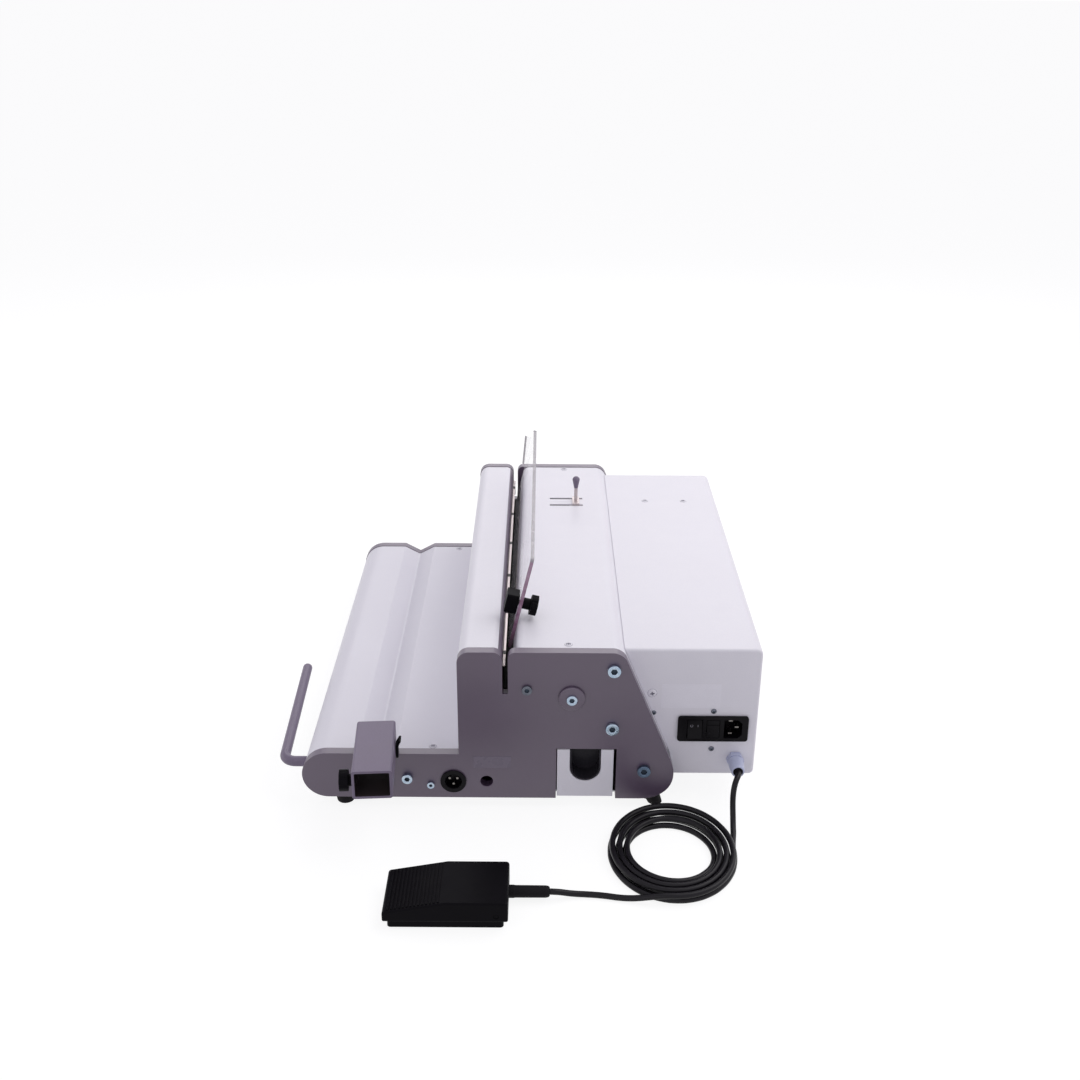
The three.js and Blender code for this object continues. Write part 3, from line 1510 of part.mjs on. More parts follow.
function pedalBase() {
  const inset = pedalWall + pedalPlay;
  const y0 = pedalHeelY - pedalLength + inset;
  const y1 = pedalHeelY - inset;
  const x0 = pedalX + pedalWall + runningGap;
  const x1 = pedalX + pedalWidth - pedalWall - runningGap;
  const tray = alongZ(roundedOutline([
    [x0, y0, pedalCornerRadius],
    [x1, y0, pedalCornerRadius],
    [x1, y1, pedalCornerRadius],
    [x0, y1, pedalCornerRadius],
  ]), -footHeight, pedalBaseHeight - footHeight);
  const pivotY = pedalHeelY - pedalPivotInset;
  const posts = [x0, x1 - pedalPostWidth].map((x) => block(
    [x, x + pedalPostWidth],
    centred(pivotY, pedalPostDepth),
    [pedalBaseHeight / 2 - footHeight, pedalPivotZ + pedalPostDepth / 2 - footHeight],
  ));
  const pinEnds = [pedalX + touchGap, pedalX + pedalWidth - touchGap];
  const pin = rodX(pedalPivotRadius, ...pinEnds, pivotY, pedalPivotZ - footHeight, smallSides);
  const leadAnchor = block(
    centred(reliefX, 2 * reliefRadius),
    [y1 - pedalPostDepth, y1],
    [pedalBaseHeight / 2 - footHeight, reliefZ + reliefRadius - footHeight],
  );
  return join(tray, ...posts, pin, leadAnchor);
}

function pedalStrainRelief() {
  const start = pedalHeelY - pedalWall - pedalPlay + touchGap;
  const neckEnd = start + reliefNeck;
  const end = pedalHeelY + reliefLength;
  const profile = [
    [start, 0],
    [start, reliefRadius],
    [neckEnd, reliefRadius],
    [end, reliefTipRadius],
    [end, 0],
  ];
  return turnedY(profile, reliefX, reliefZ - footHeight, smallSides);
}

// The whole machine
place('right_side_plate', sidePlate(1), plateCoat);
place('left_side_plate', sidePlate(-1), plateCoat);
place('base_plate', basePlate(), steel);
place('front_table_cover', frontTableCover(), whiteCoat);
place('tower_cover', towerCover(), whiteCoat);
place('rear_cover', rearCover(), whiteCoat);
place('motor_housing', motorHousing(), whiteCoat);

place('die_plate', drilledBar(dieFrontY, slotFrontY), darkSteel);
place('punch_guide_block', drilledBar(slotRearY, guideRearY), darkSteel);
place('slot_floor_bar', slotFloorBar(), darkSteel);
place('paper_guide_strip', paperGuideStrip(), steel);
place('punch_bar', punchBar(), steel);
place('punch_shaft', punchShaft(), steel);
place('right_shaft_bearing', shaftBearing(1), steel);
place('left_shaft_bearing', shaftBearing(-1), steel);
place('right_shaft_cap', shaftCap(1), plateCoat);
place('left_shaft_cap', shaftCap(-1), plateCoat);
place('drive_gear', driveGear(), darkSteel);
place('motor_pinion', motorPinion(), steel);
place('gear_motor', gearMotor(), darkSteel);

for (const [name, spot] of Object.entries(rods)) {
  place(`${name}_tie_rod`, tieRod(spot, rodRadius), steel);
  const headRadius = name === 'front' ? frontRodHeadRadius : rodHeadRadius;
  place(`${name}_bolt`, socketScrew(spot, headRadius, rodHeadHeight, rodShankRadius), zinc);
}
const smallScrew = (spot, headRadius) => socketScrew(spot, headRadius, smallHeadHeight, smallShankRadius);
place('die_screw', smallScrew(dieScrewPlace, dieScrewHeadRadius), zinc);
place('nose_screw', smallScrew(smallScrewPlace, smallScrewHeadRadius), zinc);

place('chip_chute', chipChute(), steel);
place('chip_drawer', chipDrawer(), whiteCoat);
place('drawer_pull_cup', drawerPullCup(), blackPlastic);

place('paper_support', paperSupport(), acrylic, support);
place('side_guide', sideGuide(), blackPlastic, support);
place('side_guide_knob', sideGuideKnob(), blackPlastic, support);
place('side_stop', sideStop(), acrylic, support);
place('margin_slider', marginSlider(), steel);
place('margin_grip', marginGrip(), taupeCoat);

place('holder_tube', holderTube(), taupeCoat);
place('holder_knob', holderKnob(), blackPlastic);
place('holder_clip', holderClip(), blackPlastic);
place('connector_socket', connectorSocket(), blackPlastic);
place('front_lever', frontLever(), taupeCoat);

place('power_inlet', powerInlet(), blackPlastic);
place('rocker_switch', rockerSwitch(), blackPlastic);
place('fuse_drawer', fuseDrawer(), blackPlastic);
inletScrewPlaces.forEach((z, i) => place(`inlet_screw_${i + 1}`, inletScrew(z), zinc));
place('cable_gland', cableGland(), glandGrey);

const footX = halfLength - footInset;
const frontFootY = noseFrontY + frontFootReach;
place('front_right_foot', foot(footX, frontFootY), rubber);
place('front_left_foot', foot(-footX, frontFootY), rubber);
place('rear_right_foot', rearFoot(footX), rubber);
place('rear_left_foot', rearFoot(-footX), rubber);

place('pedal_base', pedalBase(), blackPlastic);
place('pedal_treadle', pedalTreadle(), blackPlastic);
place('pedal_strain_relief', pedalStrainRelief(), rubber);

// The origin is under the middle of the machine and its pedal, on the surface they stand on
model.updateMatrixWorld(true);
const extent = new THREE.Box3().setFromObject(model, true);
const middle = extent.getCenter(new THREE.Vector3());
machine.position.set(-middle.x, -middle.y, -extent.min.z);

place('cable_drop', straightStretch(dropRoute, 28), cordBlack);
place('cable_coil', cableCoil(), cordBlack);
place('cable_lead', straightStretch(leadRoute, 24), cordBlack);

export default model;
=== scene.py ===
from math import atan2, cos, pi, radians, sin, tan

import bmesh
import bpy
from mathutils import Matrix, Vector


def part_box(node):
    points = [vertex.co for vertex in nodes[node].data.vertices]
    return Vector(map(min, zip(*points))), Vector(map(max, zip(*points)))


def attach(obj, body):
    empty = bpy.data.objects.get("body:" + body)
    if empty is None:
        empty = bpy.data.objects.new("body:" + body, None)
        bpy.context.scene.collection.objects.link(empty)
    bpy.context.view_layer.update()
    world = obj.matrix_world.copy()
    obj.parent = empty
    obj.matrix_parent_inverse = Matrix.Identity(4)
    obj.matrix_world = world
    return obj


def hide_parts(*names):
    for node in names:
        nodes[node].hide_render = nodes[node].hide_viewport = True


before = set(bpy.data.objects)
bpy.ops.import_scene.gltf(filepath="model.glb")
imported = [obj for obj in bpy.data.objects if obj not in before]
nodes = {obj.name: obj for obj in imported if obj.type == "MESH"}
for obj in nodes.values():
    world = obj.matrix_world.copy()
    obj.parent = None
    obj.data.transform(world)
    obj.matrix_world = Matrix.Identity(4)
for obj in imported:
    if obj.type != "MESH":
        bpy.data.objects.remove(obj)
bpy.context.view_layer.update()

# Looks of an electric coil binding machine with a foot pedal
# Pieces are drawn in the machine's own axes in millimetres, x along the punching width, y to the rear, z up
scene = bpy.context.scene
scene.view_settings.view_transform = "Standard"
MM = 0.001

# Reaches that many pieces share
HALF_LENGTH = 240      # outer faces of the side plates
NOSE_Y = -225.5        # front of the plates' nose
PLATE_THICK = 10
PLATE_TOP = 158.6
SEAT = 240.3           # outer face of the right plate with its fitting gap
COVER_HALF = 229.7     # ends of the covers between the plates
COVER_SHEET = 1.5
TABLE_TOP = 48.4
COVER_TOP = 158
HOUSING_HALF = 221     # ends of the motor housing
HOUSING_TOP = 152.3

plate_low, plate_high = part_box("right_side_plate")
ORIGIN = Vector((plate_high.x - HALF_LENGTH * MM, plate_low.y - NOSE_Y * MM, plate_low.z))
TO_WORLD = Matrix.Translation(ORIGIN) @ Matrix.Scale(MM, 4)

# Camera at the photograph's angle: its spot in the machine's axes, and its turn, pitch and roll in degrees
CAMERA_SPOT = (1237, 0, 720.9)
CAMERA_TURN, CAMERA_PITCH, CAMERA_ROLL = 90.055, 24.3, 0.35
camera = bpy.data.objects.new("camera", bpy.data.cameras.new("camera"))
camera.data.lens = 42.0
camera.data.sensor_width = 36.0
camera.data.sensor_fit = "HORIZONTAL"
camera.matrix_world = (
    Matrix.Translation(ORIGIN + Vector(CAMERA_SPOT) * MM)
    @ Matrix.Rotation(radians(CAMERA_TURN), 4, "Z")
    @ Matrix.Rotation(radians(90 - CAMERA_PITCH), 4, "X")
    @ Matrix.Rotation(radians(CAMERA_ROLL), 4, "Z")
)
scene.collection.objects.link(camera)
scene.camera = camera


# Materials
CLOUD_RANGE = (0.35, 0.65)   # values that one noise mostly keeps to
SUM_RANGE = (0.7, 1.3)       # values that two noises added mostly keep to


def linear(colour):
    """Linear RGBA of an sRGB hex value."""
    parts = [int(colour[i:i + 2], 16) / 255 for i in (1, 3, 5)]
    return [p / 12.92 if p <= 0.04045 else ((p + 0.055) / 1.055) ** 2.4 for p in parts] + [1.0]


def add(tree, kind, inputs=None, **settings):
    """A new node with its settings, and its inputs set to values or linked to other nodes' outputs."""
    new = tree.nodes.new("ShaderNode" + kind)
    for name, value in settings.items():
        setattr(new, name, value)
    for socket, value in (inputs or {}).items():
        if isinstance(value, bpy.types.NodeSocket):
            tree.links.new(value, new.inputs[socket])
        else:
            new.inputs[socket].default_value = value
    return new


def finish(name, tones, gloss, metal=0.0, drift=60.0, grain=1.0, depth=0.02, stretch=(1, 1, 1), **sockets):
    """A surface whose colour and gloss drift over some millimetres, with a fine grain.

    tones are the two sRGB colours it drifts between, gloss the two roughnesses, drift and grain are sizes in
    millimetres, depth is the grain's height in millimetres, and stretch draws the patterns out along an axis.
    """
    material = bpy.data.materials.new(name)
    material.use_nodes = True
    tree = material.node_tree
    shader = tree.nodes["Principled BSDF"]
    place = add(tree, "Mapping", {
        "Vector": add(tree, "TexCoord").outputs["Object"],
        "Scale": [1 / s for s in stretch],
    }).outputs["Vector"]
    cloud, fine = [
        add(tree, "TexNoise", {
            "Vector": place, "Scale": 1 / (size * MM), "Detail": detail, "Roughness": rough,
        })
        for size, detail, rough in ((drift, 3.0, 0.6), (grain, 2.0, 0.5))
    ]
    both = add(tree, "Math", {0: cloud.outputs["Fac"], 1: fine.outputs["Fac"]}, operation="ADD")
    share = add(tree, "MapRange", {
        "Value": both.outputs[0], "From Min": SUM_RANGE[0], "From Max": SUM_RANGE[1],
    })
    colour = add(tree, "Mix", {
        "Factor": share.outputs[0], 6: linear(tones[0]), 7: linear(tones[1]),
    }, data_type="RGBA")
    tree.links.new(colour.outputs[2], shader.inputs["Base Color"])
    rough = add(tree, "MapRange", {
        "Value": cloud.outputs["Fac"], "From Min": CLOUD_RANGE[0], "From Max": CLOUD_RANGE[1],
        "To Min": gloss[0], "To Max": gloss[1],
    })
    tree.links.new(rough.outputs[0], shader.inputs["Roughness"])
    bump = add(tree, "Bump", {"Height": fine.outputs["Fac"], "Strength": 1.0, "Distance": depth * MM})
    tree.links.new(bump.outputs[0], shader.inputs["Normal"])
    shader.inputs["Metallic"].default_value = metal
    for socket, value in sockets.items():
        shader.inputs[socket.replace("_", " ").title().replace("Ior", "IOR")].default_value = value
    return material


# Baked powder coat with a slight orange peel: satin, its highlights broken up by the grain; taupe on the
# plates, white on the covers
plate_coat = finish("taupe_powder_coat", ("#49394F", "#4F3F55"), (0.38, 0.46), grain=0.9, depth=0.03,
                    ior=1.65, coat_weight=0.7, coat_roughness=0.42)
white_coat = finish("white_powder_coat", ("#E1DFE7", "#E7E5EC"), (0.38, 0.46), grain=0.9, depth=0.02)
# The table's white is painted a little greyer than the other covers: painted shade
shaded_table_paint = finish("powder_coat_with_painted_shade", ("#DAD8E1", "#E0DEE6"), (0.36, 0.44), drift=90, grain=0.9,
                    depth=0.016)
# Stove enamel over square tube and bar: a little shinier and more violet than the plates
tube_coat = finish("taupe_stove_enamel", ("#72687A", "#7A7084"), (0.36, 0.44), grain=1.2, depth=0.012,
                   specular_ior_level=0.3)
# Inside of the square tube: painted dull and nearly black as the shade inside it
tube_bore = finish("tube_inside_painted_shade", ("#262024", "#38302F"), (0.6, 0.75), drift=18, grain=0.8, depth=0.02,
                   specular_ior_level=0.15)
# Turned mild steel: fine rings of the lathe run round the bar
turned_steel = finish("turned_steel", ("#A9ABB0", "#BCBEC2"), (0.24, 0.34), 1.0, grain=0.4, depth=0.006,
                      stretch=(0.2, 3, 3))
# Bright zinc plate with blue passivation: cool and nearly mirror smooth
zinc = finish("bright_zinc_plate", ("#8FA3B8", "#C0CCD8"), (0.16, 0.3), 1.0, drift=5, grain=0.6, depth=0.01)
# The same plate gone dull and dark on the small screws
dull_zinc = finish("dull_zinc_plate", ("#5A5E68", "#767A84"), (0.36, 0.5), 0.9, drift=4, grain=0.6,
                   depth=0.01)
# Bolt low on the slope, in the shade of the housing: the same zinc, painted a darker blue as that shade
shade_zinc = finish("zinc_with_painted_shade", ("#4A5A6E", "#6C7C90"), (0.3, 0.42), 1.0, drift=3, grain=0.6,
                   depth=0.01)
# Painted shadow in the cross recess and round the rim of a painted screw
screw_shadow_paint = finish("screw_painted_shadow", ("#8C8A98", "#9C9AA6"), (0.5, 0.6), drift=3, grain=0.6, depth=0.01,
                   specular_ior_level=0.2)
# Die bars deep in the slot: oiled, and painted nearly black as the shade deep in the slot
oiled_and_shaded_steel = finish("die_steel_oiled_and_painted_shade", ("#0B090A", "#131012"), (0.5, 0.65), drift=25, grain=0.5,
                     depth=0.01, specular_ior_level=0.12)
# Bottom of a hexagon socket or cross recess: painted dark as the shade that falls into it
recess_shade = finish("socket_painted_shade", ("#2A3440", "#465260"), (0.4, 0.6), 0.6, drift=2, grain=0.4, depth=0.01,
                    specular_ior_level=0.2)
# Blackened tool steel: brown black with a ground face
tool_steel = finish("blackened_tool_steel", ("#3E3736", "#4F4645"), (0.35, 0.5), 0.6, drift=25, grain=0.5,
                    depth=0.01, stretch=(3, 1, 1))
# Spring steel, blued nearly to black
blued_steel = finish("blued_spring_steel", ("#1B191B", "#29262A"), (0.3, 0.4), 0.6, drift=10, grain=0.4,
                     depth=0.01)
# Ground stainless strip that guides the paper: warm and bright, drawn along its length
strip_steel = finish("ground_stainless_strip", ("#B3A8A8", "#CBC2C1"), (0.28, 0.4), 0.8, drift=20, grain=0.4,
                     depth=0.008, stretch=(12, 1, 1))
# Cold-rolled galvanised sheet: dull grey with spangle
sheet_steel = finish("galvanised_sheet", ("#9A9DA1", "#B0B3B7"), (0.36, 0.5), 1.0, drift=14, grain=2.0,
                     depth=0.006)
# Moulded ABS with a spark-eroded grain: matt, nearly black, slightly violet
moulded_abs = finish("moulded_abs", ("#070609", "#0D0B10"), (0.42, 0.54), grain=0.5, depth=0.02,
                     specular_ior_level=0.05)
# Polished polyamide of switch and inlet: smoother and glossier than the pedal
gloss_plastic = finish("glossy_polyamide", ("#0B090D", "#121014"), (0.2, 0.28), grain=1.5, depth=0.004,
                       specular_ior_level=0.1)
# The same in the pull cup, painted lighter grey as the reflection that its gloss shows in the cup's shade
pull_reflection_plastic = finish("polyamide_painted_reflection", ("#2A282E", "#343238"), (0.2, 0.28), grain=1.5, depth=0.004,
                       specular_ior_level=0.1)
# Brass pins with nickel plate, dulled by use
nickel = finish("nickel_plate", ("#6A6663", "#8A8682"), (0.22, 0.34), 1.0, drift=3, grain=0.5, depth=0.003)
# Print on the switch
mark_ink = finish("grey_mark_ink", ("#5A5860", "#68666E"), (0.4, 0.5), drift=4, grain=0.4, depth=0.001)
# Polyamide of the cable gland: pale blue grey, waxy
gland_polyamide = finish("grey_polyamide", ("#B0B6D2", "#BEC3DC"), (0.34, 0.44), drift=10, grain=0.6,
                         depth=0.01)
# Nitrile rubber: dull black with a dusting
nitrile = finish("nitrile_rubber", ("#121013", "#1C1A1D"), (0.6, 0.75), drift=12, grain=0.7, depth=0.02,
                 specular_ior_level=0.12)
# Extruded PVC jacket: black with a soft sheen
pvc_jacket = finish("pvc_jacket", ("#0B090D", "#131016"), (0.3, 0.4), drift=30, grain=1.5, depth=0.01,
                    specular_ior_level=0.22)
# Satin polyester film of a plate with nothing printed on it
polyester_film = finish("satin_polyester_film", ("#E5E3EB", "#EAE8F0"), (0.36, 0.42), drift=20, grain=0.8,
                        depth=0.003)
# The same film in the tone of the side plate that it sticks to
violet_film = finish("violet_polyester_film", ("#6E6574", "#736A7A"), (0.26, 0.32), drift=20, grain=0.8,
                     depth=0.003, specular_ior_level=0.45)
# Cast acrylic sheet: clear, polished faces that show only as a faint haze
clear_acrylic = finish("cast_acrylic", ("#E9E6EC", "#F1EEF3"), (0.03, 0.06), drift=40, grain=4, depth=0.0005,
                       ior=1.49, alpha=0.12)
# Its upper edge, polished by hand: grey, with the sky in it
acrylic_top = finish("polished_acrylic_edge", ("#7C777D", "#928D93"), (0.2, 0.3), drift=30, grain=0.8,
                     depth=0.006, ior=1.49, alpha=0.85)
# Front edge of the small stop: frosted by the saw
acrylic_frost = finish("frosted_acrylic_edge", ("#9A959B", "#ACA7AD"), (0.4, 0.5), drift=12, grain=0.8,
                       depth=0.01, ior=1.49, alpha=0.6)
# Sawn edge of the same sheet, where the light that it pipes leaves it: dusky pink
acrylic_edge = finish("sawn_acrylic_edge", ("#7E5470", "#A07E96"), (0.25, 0.4), drift=9, grain=0.8,
                      depth=0.01, ior=1.49, alpha=0.9)

# Pedal cord: from the gland to the floor, round one flat coil, and along the floor to the pedal
DROP = [
    (244.6, 187, 34), (247.2, 187, 34), (250, 186.2, 33.4), (253.2, 184.6, 32.2), (256.8, 182.8, 29.2),
    (259.5, 181.6, 25), (261.6, 181, 20.2), (263.4, 180.8, 15), (265.6, 180.8, 9.8), (268.8, 180.8, 4.8),
    (273.2, 180.6, 0.4), (278.8, 180.2, -3.2), (285.2, 179.7, -5.7), (292, 178.6, -6.9), (299, 177.5, -7.15),
    (305.4, 176.7, -7.15),
]
LEAD = [
    (377.7, 113.3, -1.15), (377.6, 105, -1.5), (377, 96.5, -2.9), (376, 87.5, -4.9), (374.6, 78, -6.5),
    (373, 68.5, -7.15), (371.2, 59, -7.15), (369.9, 50, -7.15), (369.3, 41, -7), (369.6, 33, -6.3),
    (370.4, 25.5, -4.9), (371.3, 19, -3.2), (372, 14.2, -2.2), (372, 9.8, -2),
]
CORD_RADIUS = 2.75
COIL_TURNS = 6.25
COIL_STEPS = 24              # points a turn
COIL_MIDDLE = (311.2, 119.1)
COIL_RADII = (66.5, 57.6)    # of the outermost turn
COIL_CLOSING = (26, 20)      # how much smaller the innermost turn is
COIL_DRIFT = (4.75, 0.5)     # how far its middle lies from the outermost turn's
LOWER_LAYER = -7.15          # height of the cord's middle on the floor
LAYER_RISE = 6               # climb to the turns on top
CLIMB_TURNS = 0.5            # how long the climb takes


def coil_point(turn):
    """A point of the coil, which winds in on the floor, climbs, and winds out again on top."""
    middle = COIL_TURNS / 2
    inward = 1 - abs(turn - middle) / middle
    rise = min(max((turn - middle + CLIMB_TURNS / 2) / CLIMB_TURNS, 0), 1)
    angle = pi / 2 - 2 * pi * turn
    reach = [m + d * inward for m, d in zip(COIL_MIDDLE, COIL_DRIFT)]
    radii = [r - c * inward for r, c in zip(COIL_RADII, COIL_CLOSING)]
    return (reach[0] + radii[0] * cos(angle), reach[1] + radii[1] * sin(angle),
            LOWER_LAYER + LAYER_RISE * rise * rise * (3 - 2 * rise))


ROUTE = DROP + [coil_point(i / COIL_STEPS) for i in range(round(COIL_TURNS * COIL_STEPS) + 1)] + LEAD
CORD = [TO_WORLD @ Vector(p) for p in ROUTE]
cord_curve = bpy.data.curves.new("pedal_cord", "CURVE")
cord_curve.dimensions = "3D"
cord_curve.resolution_u = 6
cord_curve.bevel_depth = CORD_RADIUS * MM
cord_curve.bevel_resolution = 4
cord_curve.use_fill_caps = True
spline = cord_curve.splines.new("BEZIER")
spline.bezier_points.add(len(CORD) - 1)
for knot, point in zip(spline.bezier_points, CORD):
    knot.co = point
    knot.handle_left_type = knot.handle_right_type = "AUTO"
cord = bpy.data.objects.new("pedal_cord", cord_curve)
scene.collection.objects.link(cord)
cord_curve.materials.append(pvc_jacket)
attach(cord, "machine_body")
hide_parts("cable_drop", "cable_coil", "cable_lead")


# Shapes
def upright(x):
    """Places a flat outline across the machine at x."""
    return lambda y, z: (x, y, z)


def facing(y):
    """Places a flat outline across the depth at y."""
    return lambda x, z: (x, y, z)


def flat(corners, put, steps=10, closed=True):
    """A flat face, or an open strip of edges, with rounded corners: each is (a, b) or (a, b, radius)."""
    bm = bmesh.new()
    points = [Vector(c[:2]) for c in corners]
    verts = [bm.verts.new(put(*p)) for p in points]
    if closed:
        bm.faces.new(verts)
    else:
        for pair in zip(verts, verts[1:]):
            bm.edges.new(pair)
    bm.normal_update()
    for i, corner in enumerate(corners):
        if len(corner) < 3 or not corner[2]:
            continue
        before = (points[i - 1] - points[i]).normalized()
        after = (points[(i + 1) % len(points)] - points[i]).normalized()
        half = before.angle(after) / 2
        bmesh.ops.bevel(bm, geom=[verts[i]], offset=corner[2] / tan(half), offset_type="OFFSET",
                        segments=steps, profile=0.5, affect="VERTICES", material=-1, clamp_overlap=False)
    return bm


def shifted(bm, made, step):
    """Moves the vertices among what an extrusion has made."""
    verts = [g for g in made if isinstance(g, bmesh.types.BMVert)]
    bmesh.ops.translate(bm, vec=Vector(step), verts=verts)


def extruded(bm, step):
    """Draws the faces, or the open strip, out by a step."""
    if bm.faces:
        new = bmesh.ops.extrude_face_region(bm, geom=bm.faces[:])["geom"]
    else:
        new = bmesh.ops.extrude_edge_only(bm, edges=bm.edges[:])["geom"]
    shifted(bm, new, step)
    bmesh.ops.recalc_face_normals(bm, faces=bm.faces[:])
    return bm


def softened(bm, width, segments=2, least=35):
    """Breaks the sharp edges with a small round."""
    bm.normal_update()
    sharp = [e for e in bm.edges if e.is_manifold and e.calc_face_angle(0) > radians(least)]
    bmesh.ops.bevel(bm, geom=sharp, offset=width, offset_type="OFFSET", segments=segments, profile=0.5,
                    affect="EDGES", material=-1, clamp_overlap=True)
    return bm


def turned(profile, centre, axis, sides=48):
    """A body of revolution: profile is (along, radius) pairs, and the axis runs through centre."""
    bm = bmesh.new()
    axis = Vector(axis)
    out = axis.orthogonal().normalized()
    verts = [bm.verts.new(Vector(centre) + axis * a + out * r) for a, r in profile]
    edges = [bm.edges.new(pair) for pair in zip(verts, verts[1:])]
    bmesh.ops.spin(bm, geom=verts + edges, cent=Vector(centre), axis=axis, dvec=(0, 0, 0), angle=2 * pi,
                   steps=sides, use_merge=True)
    bmesh.ops.remove_doubles(bm, verts=bm.verts[:], dist=1e-4)
    bmesh.ops.recalc_face_normals(bm, faces=bm.faces[:])
    return bm


def split(bm, spot, normal):
    """Scores a mesh along a plane."""
    bmesh.ops.bisect_plane(bm, geom=bm.verts[:] + bm.edges[:] + bm.faces[:], dist=1e-4, plane_co=spot,
                           plane_no=normal)


def box(low, high, width=0.0, segments=2):
    """A block between two corners with softened edges."""
    bm = bmesh.new()
    low, high = Vector(low), Vector(high)
    bmesh.ops.create_cube(bm, size=1.0)
    bmesh.ops.scale(bm, vec=high - low, verts=bm.verts[:])
    bmesh.ops.translate(bm, vec=(high + low) / 2, verts=bm.verts[:])
    return softened(bm, width, segments) if width else bm


def joined(*parts):
    """Several meshes in one."""
    whole = bmesh.new()
    for part in parts:
        mesh = bpy.data.meshes.new("part")
        part.to_mesh(mesh)
        part.free()
        whole.from_mesh(mesh)
        bpy.data.meshes.remove(mesh)
    return whole


def cut(bm, *cutters):
    """Takes the cutters away from a closed mesh."""
    made = []
    for part in (bm, joined(*cutters)):
        mesh = bpy.data.meshes.new("part")
        part.to_mesh(mesh)
        part.free()
        made.append(bpy.data.objects.new("part", mesh))
        scene.collection.objects.link(made[-1])
    modifier = made[0].modifiers.new("cut", "BOOLEAN")
    modifier.object = made[1]
    modifier.operation = "DIFFERENCE"
    modifier.solver = "EXACT"
    modifier.use_self = len(cutters) > 1
    result = bmesh.new()
    result.from_object(made[0], bpy.context.evaluated_depsgraph_get())
    for obj in made:
        mesh = obj.data
        bpy.data.objects.remove(obj)
        bpy.data.meshes.remove(mesh)
    bmesh.ops.dissolve_limit(result, angle_limit=radians(0.5), verts=result.verts[:],
                             edges=result.edges[:])
    return result


def moved(bm, matrix):
    """The mesh turned or moved."""
    bmesh.ops.transform(bm, matrix=matrix, verts=bm.verts[:])
    return bm


def shaded_flat(obj):
    """Lets the larger face set the shading at its corners, so flat sides stay flat beside their rounds."""
    modifier = obj.modifiers.new("flat", "WEIGHTED_NORMAL")
    modifier.keep_sharp = True
    seen = obj.evaluated_get(bpy.context.evaluated_depsgraph_get())
    first, obj.data = obj.data, bpy.data.meshes.new_from_object(seen)
    obj.modifiers.clear()
    bpy.data.meshes.remove(first)
    obj.data.name = obj.name


def piece(name, bm, material, stands_for=(), body="machine_body", sharp=32):
    """A finished piece of the object, riding on its body."""
    bmesh.ops.transform(bm, matrix=TO_WORLD, verts=bm.verts[:])
    mesh = bpy.data.meshes.new(name)
    bm.to_mesh(mesh)
    bm.free()
    for m in material if isinstance(material, (list, tuple)) else [material]:
        mesh.materials.append(m)
    mesh.shade_smooth()
    mesh.set_sharp_from_angle(angle=radians(sharp))
    obj = bpy.data.objects.new(name, mesh)
    scene.collection.objects.link(obj)
    shaded_flat(obj)
    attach(obj, body)
    if stands_for:
        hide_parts(*stands_for)


def coated(material, *names):
    """Gives CAD nodes a material."""
    for name in names:
        nodes[name].data.materials.clear()
        nodes[name].data.materials.append(material)


def rod(radius, start, end, centre, axis="x", sides=48, width=0.0):
    """A round rod along an axis, from start to end, with softened ends."""
    way = {"x": Vector((1, 0, 0)), "y": Vector((0, 1, 0)), "z": Vector((0, 0, 1))}[axis]
    middle = Vector(centre)
    bm = bmesh.new()
    bmesh.ops.create_cone(bm, cap_ends=True, segments=sides, radius1=radius, radius2=radius,
                          depth=end - start)
    turn = Vector((0, 0, 1)).rotation_difference(way).to_matrix().to_4x4()
    moved(bm, Matrix.Translation(middle + way * (start + end) / 2) @ turn)
    return softened(bm, width, 2) if width else bm


# Side plates: the slanted line of their rear edge, and their outline as corners (y, z, radius)
SLOPE_TOP_Y, SLOPE_RUN = 75.6, 65.8
SLOT_FRONT, SLOT_REAR, SLOT_FLOOR = -34.7, -29.7, 115
TOWER_FRONT = -76.3
SHAFT_HOLE, ROD_HOLE = 10.1, 4.3


def slope_at(z):
    """Where the rear edge stands at a height."""
    return SLOPE_TOP_Y + SLOPE_RUN * (1 - z / PLATE_TOP)


PLATE = [
    (NOSE_Y, 0, 24.49), (15.6, 0), (15.6, 55.8), (72.3, 55.8), (72.3, 0), (slope_at(0), 0, 31),
    (SLOPE_TOP_Y, PLATE_TOP, 14), (SLOT_REAR, PLATE_TOP, 7), (SLOT_REAR, SLOT_FLOOR),
    (SLOT_FRONT, SLOT_FLOOR), (SLOT_FRONT, PLATE_TOP, 9), (TOWER_FRONT, PLATE_TOP, 11.5),
    (TOWER_FRONT, 49), (-136.5, 49), (-155, 39), (-173.5, 49), (NOSE_Y, 49, 24.49),
]
RODS = {
    "rear_top": (67.4, 141.2), "rear_middle": (67.3, 79.5), "rear_low": (98.5, 32.8), "front": (-125.4, 22.9),
}
SHAFT = (0, 29.33, 111.5)


def side_plate(start, holes):
    """A plate whose left face stands at start, with its holes drilled and its edges broken."""
    blank = extruded(flat(PLATE, upright(start), 14), (PLATE_THICK, 0, 0))
    return softened(cut(blank, *holes), 0.5, 2)


def plate_holes(start):
    """The holes that both plates have, for the punch shaft and the tie rods."""
    spots = [(SHAFT_HOLE, SHAFT)] + [(ROD_HOLE, (0, *spot)) for spot in RODS.values()]
    return [rod(r, start - 5, start + 15, c, sides=32) for r, c in spots]


# The right plate also has those of the die screw, the nose screw and the accessory socket, and a plain one
right_holes = plate_holes(HALF_LENGTH - PLATE_THICK) + [
    rod(r, 225, 245, (0, y, z), sides=40)
    for r, y, z in ((2.8, -12.1, 120), (2.8, -103.3, 15.1), (9.8, -81.8, 19.1), (6, -50.2, 18.9))
]
piece("right_plate", side_plate(HALF_LENGTH - PLATE_THICK, right_holes), plate_coat,
      ["right_side_plate"])
piece("left_plate", side_plate(-HALF_LENGTH, plate_holes(-HALF_LENGTH)), plate_coat,
      ["left_side_plate"])


# Bent sheet covers between the plates
BEYOND = 1000   # a hole's side that lies this far out isn't cut


